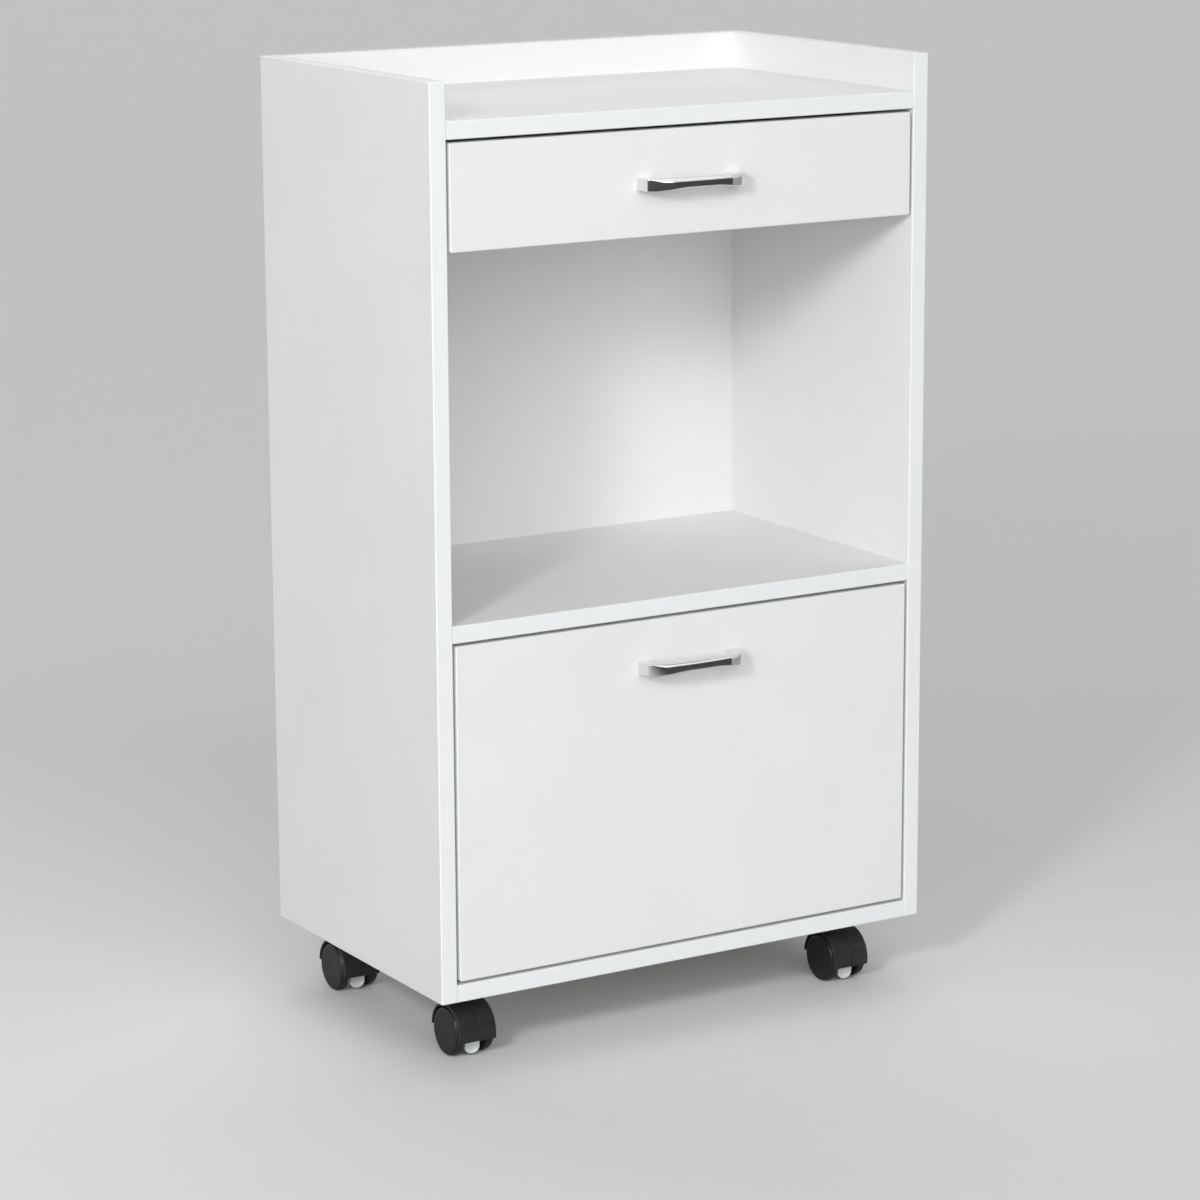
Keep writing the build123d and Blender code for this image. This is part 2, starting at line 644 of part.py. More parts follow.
# The drawer back stands on the bottom, between the sides
drawer_back_low_z = drawer_panel_z + groove_height
with BuildPart() as drawer_back:
    with BuildSketch(Plane.XY.offset(drawer_back_low_z)):
        with Locations((0, drawer_end_y - drawer_wall / 2)):
            Rectangle(2 * (drawer_half_width - drawer_wall), drawer_wall)
    extrude(amount=drawer_floor_z + drawer_wall_height - drawer_back_low_z)
    fillet(drawer_back.faces().sort_by(Axis.Z)[-1].edges().filter_by(Axis.X), drawer_wall_rounding)
    for sign in (-1, 1):
        end_x = sign * (drawer_half_width - drawer_wall)
        with Locations(*[(end_x, drawer_screw_y, z) for z in drawer_screws_z]):
            Cylinder(drawer_screw_diameter / 2 + screw_play, 2 * (drawer_screw_length - drawer_wall),
                     rotation=(0, 90, 0), mode=Mode.SUBTRACT)
drawer_back.part.label = "drawer_back"
export_step(drawer_back.part, "parts/drawer_back.step")

# The thin drawer bottom, in the grooves of the front and the sides
bottom_front_y = drawer_back_face_y - drawer_groove + drawer_groove_play
with BuildPart() as drawer_bottom:
    with BuildSketch(Plane.XY.offset(drawer_panel_z)):
        with Locations((0, (bottom_front_y + drawer_end_y) / 2)):
            Rectangle(groove_width - 2 * drawer_groove_play, drawer_end_y - bottom_front_y)
    extrude(amount=drawer_bottom_thickness)
drawer_bottom.part.label = "drawer_bottom"
export_step(drawer_bottom.part, "parts/drawer_bottom.step")


def across(sign, inset):
    """The X of a point that lies an inset inward from a side panel's inner face."""
    return sign * (inner_half_width - inset)


# The cabinet's runner members: a channel with a floor, a lip and a roof, and a roller axle in front
for side, sign in SIDES:
    roof_start_y = cabinet_roller_y + roller_radius + runner_roof_gap
    with BuildPart() as cabinet_runner:
        with BuildSketch(Plane.XZ.offset(-runner_y)):
            with BuildLine():
                Polyline((across(sign, 0), runner_z), (across(sign, runner_floor_width), runner_z),
                         (across(sign, runner_floor_width), runner_z + runner_lip_height),
                         (across(sign, runner_floor_width - runner_steel), runner_z + runner_lip_height),
                         (across(sign, runner_floor_width - runner_steel), runner_floor_z),
                         (across(sign, runner_steel), runner_floor_z),
                         (across(sign, runner_steel), runner_roof_z),
                         (across(sign, runner_roof_width), runner_roof_z),
                         (across(sign, runner_roof_width), runner_roof_z + runner_steel),
                         (across(sign, 0), runner_roof_z + runner_steel),
                         close=True)
            make_face()
        extrude(amount=-runner_length)
        with BuildSketch(Plane.XY.offset(runner_roof_z)):
            with Locations((across(sign, runner_steel + runner_roof_width / 2),
                            (runner_y + roof_start_y) / 2)):
                Rectangle(runner_roof_width, roof_start_y - runner_y)
        extrude(amount=2 * runner_steel, mode=Mode.SUBTRACT)
        with Locations(*[(across(sign, 0), y, runner_screw_z) for y in runner_screws_y]):
            Cylinder(runner_screw_diameter / 2 + screw_play, 4 * runner_steel, rotation=(0, 90, 0),
                     mode=Mode.SUBTRACT)
        axle_reach = roller_offset + roller_width + roller_axle_play
        axle_mid = (runner_steel / 2 + axle_reach) / 2
        with Locations((across(sign, axle_mid), cabinet_roller_y, cabinet_roller_z)):
            Cylinder(roller_axle_diameter / 2, axle_reach - runner_steel / 2, rotation=(0, 90, 0))
        head_mid = axle_reach + roller_axle_head_height / 2
        with Locations((across(sign, head_mid), cabinet_roller_y, cabinet_roller_z)):
            Cylinder(roller_axle_head / 2, roller_axle_head_height, rotation=(0, 90, 0))
    cabinet_runner.part.label = f"cabinet_runner_{side}"
    export_step(cabinet_runner.part, f"parts/cabinet_runner_{side}.step")

# The drawer's runner members: a web beside the drawer side, a flange under it and one over the roller
for side, sign in SIDES:
    with BuildPart() as drawer_runner:
        with BuildSketch(Plane.XZ.offset(-runner_y)):
            with BuildLine():
                Polyline((across(sign, runner_gap - runner_steel), drawer_floor_z - runner_steel),
                         (across(sign, runner_gap + runner_under_width), drawer_floor_z - runner_steel),
                         (across(sign, runner_gap + runner_under_width), drawer_floor_z),
                         (across(sign, runner_gap), drawer_floor_z),
                         (across(sign, runner_gap), drawer_web_top_z),
                         (across(sign, roller_offset), drawer_web_top_z),
                         (across(sign, roller_offset), drawer_flange_z),
                         (across(sign, runner_gap - runner_steel), drawer_flange_z),
                         close=True)
            make_face()
        extrude(amount=-runner_length)
        with Locations(*[(across(sign, runner_gap + drawer_wall / 2), y, drawer_floor_z)
                         for y in runner_screws_y]):
            Cylinder(runner_screw_diameter / 2 + screw_play, 4 * runner_steel, mode=Mode.SUBTRACT)
        axle_end = roller_offset - roller_axle_play
        axle_mid = (runner_gap - runner_steel / 2 + axle_end) / 2
        with Locations((across(sign, axle_mid), drawer_roller_y, drawer_roller_z)):
            Cylinder(roller_axle_diameter / 2, runner_gap - runner_steel / 2 - axle_end,
                     rotation=(0, 90, 0))
        with Locations((across(sign, axle_end - roller_axle_head_height / 2), drawer_roller_y,
                        drawer_roller_z)):
            Cylinder(roller_axle_head / 2, roller_axle_head_height, rotation=(0, 90, 0))
        collar_start = roller_offset + roller_width + roller_axle_play
        with Locations((across(sign, (collar_start + runner_gap - runner_steel / 2) / 2),
                        drawer_roller_y, drawer_roller_z)):
            Cylinder(roller_axle_head / 2, runner_gap - runner_steel / 2 - collar_start,
                     rotation=(0, 90, 0))
    drawer_runner.part.label = f"drawer_runner_{side}"
    export_step(drawer_runner.part, f"parts/drawer_runner_{side}.step")

# The four nylon rollers
ROLLERS = (("cabinet_roller", cabinet_roller_y, cabinet_roller_z),
           ("drawer_roller", drawer_roller_y, drawer_roller_z))
for side, sign in SIDES:
    for roller_name, y, z in ROLLERS:
        with BuildPart() as roller:
            with Locations((across(sign, roller_offset + roller_width / 2), y, z)):
                Cylinder(roller_radius, roller_width, rotation=(0, 90, 0))
            fillet(roller.edges(), roller_rounding)
            with Locations((across(sign, roller_offset + roller_width / 2), y, z)):
                Cylinder(roller_axle_diameter / 2 + roller_axle_play, 2 * roller_width,
                         rotation=(0, 90, 0), mode=Mode.SUBTRACT)
        roller.part.label = f"{roller_name}_{side}"
        export_step(roller.part, f"parts/{roller_name}_{side}.step")

# Low-headed screws of the cabinet runner members
with BuildPart() as runner_screws:
    for sign in (-1, 1):
        head_x = across(sign, runner_steel + runner_screw_head_height / 2)
        with Locations(*[(across(sign, runner_steel - runner_screw_length / 2), y, runner_screw_z)
                         for y in runner_screws_y]):
            Cylinder(runner_screw_diameter / 2, runner_screw_length, rotation=(0, 90, 0))
        with Locations(*[(head_x, y, runner_screw_z) for y in runner_screws_y]):
            Cylinder(runner_screw_head / 2, runner_screw_head_height, rotation=(0, 90, 0))
runner_screws.part.label = "runner_screws"
export_step(runner_screws.part, "parts/runner_screws.step")

# Screws of the drawer box: through the sides into the back, double-ended ones between the sides and
# the front, and short ones up through the runners
with BuildPart() as drawer_screws:
    for sign in (-1, 1):
        shank_x = sign * (drawer_half_width - drawer_screw_length / 2)
        head_x = sign * (drawer_half_width - drawer_screw_head_depth / 2)
        with Locations(*[(shank_x, drawer_screw_y, z) for z in drawer_screws_z]):
            Cylinder(drawer_screw_diameter / 2, drawer_screw_length, rotation=(0, 90, 0))
        with Locations(*[(head_x, drawer_screw_y, z) for z in drawer_screws_z]):
            Cylinder(drawer_screw_head / 2, drawer_screw_head_depth, rotation=(0, 90, 0))
        under_x = across(sign, runner_gap + drawer_wall / 2)
        under_z = drawer_floor_z - runner_steel
        with Locations(*[(under_x, y, under_z + under_screw_length / 2) for y in runner_screws_y]):
            Cylinder(runner_screw_diameter / 2, under_screw_length)
        with Locations(*[(under_x, y, under_z - under_screw_head_height / 2) for y in runner_screws_y]):
            Cylinder(runner_screw_head / 2, under_screw_head_height)
    stud_shift = (drawer_stud_in_side - drawer_stud_in_front) / 2
    with Locations(*[(x, drawer_back_face_y + stud_shift, z) for x in drawer_wall_x
                     for z in drawer_screws_z]):
        Cylinder(drawer_stud_diameter / 2, drawer_stud_in_side + drawer_stud_in_front,
                 rotation=(90, 0, 0))
drawer_screws.part.label = "drawer_screws"
export_step(drawer_screws.part, "parts/drawer_screws.step")

# The flap panel, bored at its lower corners for the bushes
with BuildPart() as flap_panel:
    add(front_blank(flap_low_z, flap_height, flap_handle_z))
    for sign in (-1, 1):
        with Locations((sign * front_width / 2, hinge_y, hinge_z)):
            Cylinder(flap_bush_diameter / 2 + screw_play, 2 * flap_bush_length, rotation=(0, 90, 0),
                     mode=Mode.SUBTRACT)
    flap_screw_spots = [(sign * bracket_mid_x, z) for sign in (-1, 1) for z in bracket_screws_z]
    flap_screw_spots += [(x, strike_z) for x in strike_screws_x]
    with Locations(*[(x, flap_back_y, z) for x, z in flap_screw_spots]):
        Cylinder(fitting_screw_diameter / 2 + screw_play, 2 * fitting_screw_length, rotation=(90, 0, 0),
                 mode=Mode.SUBTRACT)
flap_panel.part.label = "flap_panel"
export_step(flap_panel.part, "parts/flap_panel.step")

# Pins in the side panels on which the flap turns, and the bushes in the flap that run on them
with BuildPart() as flap_pins:
    pin_length = flap_pin_in_panel + front_gap + flap_pin_reach
    for sign in (-1, 1):
        with Locations((across(sign, pin_length / 2 - flap_pin_in_panel), hinge_y, hinge_z)):
            Cylinder(flap_pin_diameter / 2, pin_length, rotation=(0, 90, 0))
flap_pins.part.label = "flap_pins"
export_step(flap_pins.part, "parts/flap_pins.step")

with BuildPart() as flap_bushes:
    for sign in (-1, 1):
        with Locations((sign * (front_width - flap_bush_length) / 2, hinge_y, hinge_z)):
            Cylinder(flap_bush_diameter / 2, flap_bush_length, rotation=(0, 90, 0))
            Cylinder(flap_pin_diameter / 2 + flap_pin_play, flap_bush_length, rotation=(0, 90, 0),
                     mode=Mode.SUBTRACT)
flap_bushes.part.label = "flap_bushes"
export_step(flap_bushes.part, "parts/flap_bushes.step")

# The magnetic catch under the shelf: its housing and the magnet that stands out of its face
with BuildPart() as magnetic_catch:
    with BuildSketch(Plane.XY.offset(catch_low_z)):
        with Locations((0, catch_mid_y)):
            Rectangle(catch_width, catch_depth)
    extrude(amount=catch_height)
    fillet(magnetic_catch.edges().filter_by(Axis.Z), front_rounding)
    with Locations((0, catch_mid_y - catch_magnet_stand, catch_mid_z)):
        Box(catch_magnet_width, catch_depth, catch_magnet_height)
    with BuildSketch(Plane.XY.offset(catch_low_z)):
        with Locations((0, catch_mid_y)):
            with GridLocations(catch_screw_spread, 0, 2, 1):
                Circle(fitting_screw_head / 2 + screw_play)
    extrude(amount=fitting_screw_head_height, mode=Mode.SUBTRACT)
    with BuildSketch(Plane.XY.offset(catch_low_z)):
        with Locations((0, catch_mid_y)):
            with GridLocations(catch_screw_spread, 0, 2, 1):
                Circle(fitting_screw_diameter / 2 + screw_play)
    extrude(amount=catch_height, mode=Mode.SUBTRACT)
magnetic_catch.part.label = "magnetic_catch"
export_step(magnetic_catch.part, "parts/magnetic_catch.step")

with BuildPart() as catch_screws:
    with BuildSketch(Plane.XY.offset(catch_low_z)):
        with Locations((0, catch_mid_y)):
            with GridLocations(catch_screw_spread, 0, 2, 1):
                Circle(fitting_screw_diameter / 2)
    extrude(amount=catch_height + fitting_screw_length)
    with BuildSketch(Plane.XY.offset(catch_low_z)):
        with Locations((0, catch_mid_y)):
            with GridLocations(catch_screw_spread, 0, 2, 1):
                Circle(fitting_screw_head / 2)
    extrude(amount=fitting_screw_head_height)
catch_screws.part.label = "catch_screws"
export_step(catch_screws.part, "parts/catch_screws.step")

# The steel strike plate on the flap, opposite the magnet
with BuildPart() as strike_plate:
    with BuildSketch(Plane.XZ.offset(-flap_back_y)):
        with Locations((0, strike_z)):
            RectangleRounded(strike_width, strike_height, front_corner)
        with Locations(*[(x, strike_z) for x in strike_screws_x]):
            Circle(fitting_screw_diameter / 2 + screw_play, mode=Mode.SUBTRACT)
    extrude(amount=-strike_thickness)
strike_plate.part.label = "strike_plate"
export_step(strike_plate.part, "parts/strike_plate.step")

# The stay brackets on the flap: a foot, an ear that faces the side panel, and a riveted pivot
with BuildPart() as stay_brackets:
    for sign in (-1, 1):
        foot_x = sign * (stay_ear_x - stay_bracket_width / 2)
        with Locations((foot_x, flap_back_y + stay_bracket_steel / 2, pivot_z)):
            Box(stay_bracket_width, stay_bracket_steel, stay_bracket_height)
        ear_round = stay_rivet_head / 2 + stay_ear_edge
        with BuildSketch(Plane.YZ.offset(sign * stay_ear_x)):
            with Locations((pivot_y, pivot_z)):
                Circle(ear_round)
            with Locations(((flap_back_y + pivot_y) / 2, pivot_z)):
                Rectangle(stay_pivot_stand, 2 * ear_round)
        extrude(amount=-sign * stay_bracket_steel)
        with Locations(*[(sign * bracket_mid_x, flap_back_y, z) for z in bracket_screws_z]):
            Cylinder(fitting_screw_diameter / 2 + screw_play, 2 * (stay_bracket_steel + cut_spare),
                     rotation=(90, 0, 0), mode=Mode.SUBTRACT)
        rivet_tip = stay_outer_x + stay_rivet_play
        rivet_root = stay_ear_x - stay_bracket_steel / 2
        with Locations((sign * (rivet_tip + rivet_root) / 2, pivot_y, pivot_z)):
            Cylinder(stay_rivet_diameter / 2, rivet_tip - rivet_root, rotation=(0, 90, 0))
        with Locations((sign * (rivet_tip + stay_rivet_head_height / 2), pivot_y, pivot_z)):
            Cylinder(stay_rivet_head / 2, stay_rivet_head_height, rotation=(0, 90, 0))
stay_brackets.part.label = "stay_brackets"
export_step(stay_brackets.part, "parts/stay_brackets.step")

# The stay bars, flat steel with a long slot that rides on the stud in the side panel
for side, sign in SIDES:
    bar_plane = Plane(origin=(sign * stay_inner_x, pivot_y, pivot_z),
                      x_dir=(0, math.cos(math.radians(stay_slope)), math.sin(math.radians(stay_slope))),
                      z_dir=(1, 0, 0))
    slot_end = open_span + stay_slot_play
    with BuildPart() as stay_bar:
        with BuildSketch(bar_plane):
            with Locations(((stay_bar_tip - stay_bar_width / 2) / 2, 0)):
                SlotOverall(stay_bar_tip + stay_bar_width / 2, stay_bar_width)
            with Locations(((stay_slot_start + slot_end) / 2, 0)):
                SlotCenterToCenter(slot_end - stay_slot_start, 2 * stay_slot_radius,
                                   mode=Mode.SUBTRACT)
            Circle(stay_rivet_diameter / 2 + stay_rivet_play, mode=Mode.SUBTRACT)
        extrude(amount=sign * stay_bar_thickness)
    stay_bar.part.label = f"stay_bar_{side}"
    export_step(stay_bar.part, f"parts/stay_bar_{side}.step")

# The shouldered studs in the side panels on which the stay bars slide
with BuildPart() as stay_studs:
    for sign in (-1, 1):
        stud_reach = stay_bar_inset + stay_bar_thickness + stay_side_play
        stud_length = stud_reach + stay_stud_in_panel
        with Locations((across(sign, stud_length / 2 - stay_stud_in_panel), stud_y, stud_z)):
            Cylinder(stay_stud_diameter / 2, stud_length, rotation=(0, 90, 0))
        with Locations((across(sign, stud_reach + stay_stud_head_height / 2), stud_y, stud_z)):
            Cylinder(stay_stud_head / 2, stay_stud_head_height, rotation=(0, 90, 0))
        shoulder = stay_bar_inset - stay_side_play
        with Locations((across(sign, shoulder / 2), stud_y, stud_z)):
            Cylinder(stay_stud_head / 2, shoulder, rotation=(0, 90, 0))
stay_studs.part.label = "stay_studs"
export_step(stay_studs.part, "parts/stay_studs.step")

# All the flap's screws: two for the handle, two for the strike plate and two for each bracket
with BuildPart() as flap_screws:
    add(handle_screw_pair(flap_handle_z))
    bracket_face_y = flap_back_y + stay_bracket_steel
    bracket_spots = [(sign * bracket_mid_x, z) for sign in (-1, 1) for z in bracket_screws_z]
    with Locations(*[(x, bracket_face_y - fitting_screw_length / 2, z) for x, z in bracket_spots]):
        Cylinder(fitting_screw_diameter / 2, fitting_screw_length, rotation=(90, 0, 0))
    with Locations(*[(x, bracket_face_y + fitting_screw_head_height / 2, z) for x, z in bracket_spots]):
        Cylinder(fitting_screw_head / 2, fitting_screw_head_height, rotation=(90, 0, 0))
    strike_face_y = flap_back_y + strike_thickness
    with Locations(*[(x, strike_face_y - fitting_screw_length / 2, strike_z) for x in strike_screws_x]):
        Cylinder(fitting_screw_diameter / 2, fitting_screw_length, rotation=(90, 0, 0))
flap_screws.part.label = "flap_screws"
export_step(flap_screws.part, "parts/flap_screws.step")

# The castor plates under the bottom board, each with its race and king pin
with BuildPart() as castor_plates:
    with BuildSketch(Plane.XY.offset(plate_low_z)):
        with Locations(*castor_centres):
            RectangleRounded(plate_size, plate_size, plate_corner)
            with GridLocations(plate_screw_spread, plate_screw_spread, 2, 2):
                Circle(plate_screw_diameter / 2 + screw_play, mode=Mode.SUBTRACT)
    extrude(amount=plate_thickness)
    with BuildSketch(Plane.XY.offset(plate_low_z - plate_race_height)):
        with Locations(*castor_centres):
            Circle(plate_race_radius)
    extrude(amount=plate_race_height)
    with BuildSketch(Plane.XY.offset(king_pin_low_z)):
        with Locations(*castor_centres):
            Circle(king_pin_diameter / 2)
    extrude(amount=plate_low_z - king_pin_low_z)
castor_plates.part.label = "castor_plates"
export_step(castor_plates.part, "parts/castor_plates.step")

with BuildPart() as castor_screws:
    with BuildSketch(Plane.XY.offset(plate_low_z)):
        with Locations(*castor_centres):
            with GridLocations(plate_screw_spread, plate_screw_spread, 2, 2):
                Circle(plate_screw_diameter / 2)
    extrude(amount=plate_screw_length - blind_room)
    with BuildSketch(Plane.XY.offset(plate_low_z - plate_screw_head_height)):
        with Locations(*castor_centres):
            with GridLocations(plate_screw_spread, plate_screw_spread, 2, 2):
                Circle(plate_screw_head / 2)
    extrude(amount=plate_screw_head_height)
castor_screws.part.label = "castor_screws"
export_step(castor_screws.part, "parts/castor_screws.step")

# One castor about its king pin: the hood over both wheels, its web, neck and pedal ears
with BuildPart() as castor_hood:
    hood_turn = 180 + hood_back_droop + hood_front_droop
    with BuildSketch(Plane.YZ.offset(-hood_width / 2)):
        with BuildLine():
            outer_arc = CenterArc((axle_y, axle_z), hood_radius, -hood_back_droop, hood_turn)
            inner_arc = CenterArc((axle_y, axle_z), hood_inner_radius, -hood_back_droop, hood_turn)
            Line(outer_arc @ 0, inner_arc @ 0)
            Line(outer_arc @ 1, inner_arc @ 1)
        make_face()
    extrude(amount=hood_width)
    hood_rims = castor_hood.edges().filter_by(GeomType.CIRCLE)
    fillet(hood_rims.filter_by(lambda edge: edge.radius > hood_inner_radius + hood_root), hood_rounding)
    with BuildSketch(Plane.YZ.offset(-hood_seam_width / 2)):
        with Locations((axle_y, axle_z)):
            Circle(hood_radius + cut_spare)
            Circle(hood_radius - hood_seam_depth, mode=Mode.SUBTRACT)
    extrude(amount=hood_seam_width, mode=Mode.SUBTRACT)
    with BuildSketch(Plane.YZ.offset(-web_thickness / 2)):
        with Locations((axle_y, axle_z)):
            Circle(hood_inner_radius + hood_root)
        with Locations((axle_y - web_front + hood_radius, axle_z - web_drop + hood_radius)):
            Rectangle(2 * hood_radius, 2 * hood_radius, mode=Mode.INTERSECT)
    extrude(amount=web_thickness)
    for sign in (-1, 1):
        with BuildSketch(Plane.YZ.offset(sign * (pedal_width / 2 + ear_play))):
            with Locations((pedal_pivot_y, pedal_pivot_z)):
                Circle(ear_radius)
            with Locations((pedal_pivot_y, pedal_pivot_z + hood_radius / 2)):
                Rectangle(2 * ear_radius, hood_radius)
            with Locations((axle_y, axle_z)):
                Circle(hood_inner_radius + hood_root, mode=Mode.INTERSECT)
        extrude(amount=sign * ear_thickness)
    with BuildSketch(Plane.XY.offset(axle_z + neck_floor)):
        Circle(neck_radius)
    extrude(amount=neck_top_z - axle_z - neck_floor)
    with BuildSketch(Plane.XY.offset(king_pin_low_z - blind_room)):
        Circle(king_pin_diameter / 2 + king_pin_play)
    extrude(amount=neck_top_z - king_pin_low_z + blind_room + cut_spare, mode=Mode.SUBTRACT)
    with Locations((0, axle_y, axle_z)):
        Cylinder(axle_diameter / 2 + axle_seat_play, 2 * web_thickness, rotation=(0, 90, 0),
                 mode=Mode.SUBTRACT)
    with Locations((0, pedal_pivot_y, pedal_pivot_z)):
        Cylinder(pedal_pin_diameter / 2, pedal_width + 2 * (ear_play + ear_thickness),
                 rotation=(0, 90, 0))

# The axle that both wheels run on
with BuildPart() as castor_axle:
    with Locations((0, axle_y, axle_z)):
        Cylinder(axle_diameter / 2, 2 * (wheel_wall_x - axle_end_gap), rotation=(0, 90, 0))

# The wheel of the castor's right side: hub, outer wall with a shallow dish, and rim
with BuildPart() as castor_wheel:
    hub_x = web_thickness / 2 + hub_side_play
    bore = axle_diameter / 2 + axle_play
    rim_in = wheel_radius - wheel_rim
    dish_x = wheel_outer_x - wheel_dish_depth
    with BuildSketch(axle_plane):
        with BuildLine():
            Polyline((hub_x, bore), (wheel_wall_x, bore), (wheel_wall_x, 0), (dish_x, 0),
                     (dish_x, wheel_radius - wheel_dish_inset - wheel_ridge_width),
                     (wheel_outer_x, wheel_radius - wheel_dish_inset),
                     (wheel_outer_x, wheel_radius), (wheel_inner_x, wheel_radius),
                     (wheel_inner_x, rim_in), (wheel_wall_x, rim_in),
                     (wheel_wall_x, wheel_hub_radius), (hub_x, wheel_hub_radius), close=True)
        make_face()
    revolve(axis=Axis((0, axle_y, axle_z), (1, 0, 0)))
    tread_edges = castor_wheel.edges().filter_by(GeomType.CIRCLE)
    fillet(tread_edges.filter_by(lambda edge: edge.radius > wheel_radius - wheel_edge_round),
           wheel_edge_round)

# The brake pedal: a hub on the ears' pin, a tongue that comes out under the hood, and a brake bar
with BuildPart() as castor_pedal:
    with BuildSketch(Plane.XZ.offset(-(axle_y - pedal_forward))):
        with Locations((0, (pedal_floor_gap + pedal_pivot_z) / 2)):
            RectangleRounded(pedal_width, pedal_pivot_z - pedal_floor_gap, pedal_corner)
    extrude(amount=pedal_thickness)
    fillet(castor_pedal.faces().sort_by(Axis.Y)[0].edges(), pedal_rounding)
    with Locations((0, pedal_pivot_y, pedal_pivot_z)):
        Cylinder(pedal_hub_radius, pedal_width, rotation=(0, 90, 0))
    bar_reach = wheel_inner_x + pedal_bar_reach
    with Locations((0, axle_y - pedal_bar_forward, axle_z - pedal_bar_drop)):
        Cylinder(pedal_bar_radius, 2 * bar_reach, rotation=(0, 90, 0))
    with Locations((0, pedal_pivot_y, pedal_pivot_z)):
        Cylinder(pedal_pin_diameter / 2 + pedal_pin_play, 2 * pedal_width, rotation=(0, 90, 0),
                 mode=Mode.SUBTRACT)

# The four castors, each a copy of that one about its own king pin
for castor_name, x, y in CASTORS:
    place = Location((x, y, 0))
    turned = Location((x, y, 0)) * Location((0, 2 * axle_y, 0), (0, 0, 180))
    pieces = {
        f"castor_hood_{castor_name}": castor_hood.part.moved(place),
        f"castor_axle_{castor_name}": castor_axle.part.moved(place),
        f"castor_wheel_right_{castor_name}": castor_wheel.part.moved(place),
        f"castor_wheel_left_{castor_name}": castor_wheel.part.moved(turned),
        f"castor_pedal_{castor_name}": castor_pedal.part.moved(place),
    }
    for piece_name, piece in pieces.items():
        piece.label = piece_name
        export_step(piece, f"parts/{piece_name}.step")
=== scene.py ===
"""The look of a salon trolley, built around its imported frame.

Metal fittings, rollers and screws of the frame keep their meshes and take procedural finishes. The
boards are copies with rounded edging, and the handles and the castors' hoods, wheels and brake
pedals are new surfaces that stand for the plainer solids of the frame. All sizes are in metres.
"""
import json
import math

import bmesh
import bpy
import numpy as np
from bpy.props import FloatProperty, FloatVectorProperty, PointerProperty
from bpy.types import Operator, Panel, PropertyGroup
from mathutils import Matrix, Vector


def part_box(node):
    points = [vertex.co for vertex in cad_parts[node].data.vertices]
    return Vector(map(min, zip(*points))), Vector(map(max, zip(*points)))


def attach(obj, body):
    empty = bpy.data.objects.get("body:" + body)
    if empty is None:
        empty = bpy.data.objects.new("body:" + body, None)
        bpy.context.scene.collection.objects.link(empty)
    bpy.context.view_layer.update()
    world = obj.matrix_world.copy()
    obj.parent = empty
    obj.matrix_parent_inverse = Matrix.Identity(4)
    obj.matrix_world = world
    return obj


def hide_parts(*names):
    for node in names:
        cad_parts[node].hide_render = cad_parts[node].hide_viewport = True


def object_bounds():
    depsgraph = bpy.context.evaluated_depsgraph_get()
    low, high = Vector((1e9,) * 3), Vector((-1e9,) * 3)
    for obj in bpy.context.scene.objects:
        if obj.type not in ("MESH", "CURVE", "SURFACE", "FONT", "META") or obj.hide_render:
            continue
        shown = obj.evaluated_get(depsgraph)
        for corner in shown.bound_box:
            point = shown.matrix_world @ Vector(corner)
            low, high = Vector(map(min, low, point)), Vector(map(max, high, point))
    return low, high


bl_info = {
    "name": "Salon Trolley",
    "version": (1, 0, 0),
    "blender": (4, 5, 0),
    "location": "3D View > Sidebar > Trolley",
    "description": "Builds the finishes, handles, castors and stage of a salon trolley",
    "category": "Object",
}

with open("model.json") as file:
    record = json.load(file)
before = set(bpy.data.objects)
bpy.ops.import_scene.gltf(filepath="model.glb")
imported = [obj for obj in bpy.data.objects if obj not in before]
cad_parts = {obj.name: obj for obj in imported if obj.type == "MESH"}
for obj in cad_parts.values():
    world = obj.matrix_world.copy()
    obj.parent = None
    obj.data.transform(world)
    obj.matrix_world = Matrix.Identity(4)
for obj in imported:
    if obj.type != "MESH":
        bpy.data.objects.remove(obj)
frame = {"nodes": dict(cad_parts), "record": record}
cad_low, cad_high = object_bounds()

MILLIMETRE = 0.001
SIDES = (("left", -1), ("right", 1))
CASTORS = ("front_left", "front_right", "back_left", "back_right")
HANDLES = {"drawer_handle": "drawer", "flap_handle": "flap"}

# Each board's body and its free faces, as signed axes. The other faces butt on a neighbour
BOARDS = {
    "left_side_panel": ("root", "-x +x -y +y -z +z"),
    "right_side_panel": ("root", "-x +x -y +y -z +z"),
    "back_panel": ("root", "-y +y -z +z"),
    "top_board": ("root", "-y -z +z"),
    "middle_shelf": ("root", "-y -z +z"),
    "bottom_board": ("root", "-y -z +z"),
    "drawer_front": ("drawer", "-x +x -y +y -z +z"),
    "flap_panel": ("flap", "-x +x -y +y -z +z"),
    "drawer_side_left": ("drawer", "-x +x +y -z +z"),
    "drawer_side_right": ("drawer", "-x +x +y -z +z"),
    "drawer_back": ("drawer", "-y +y -z +z"),
}


# Property groups


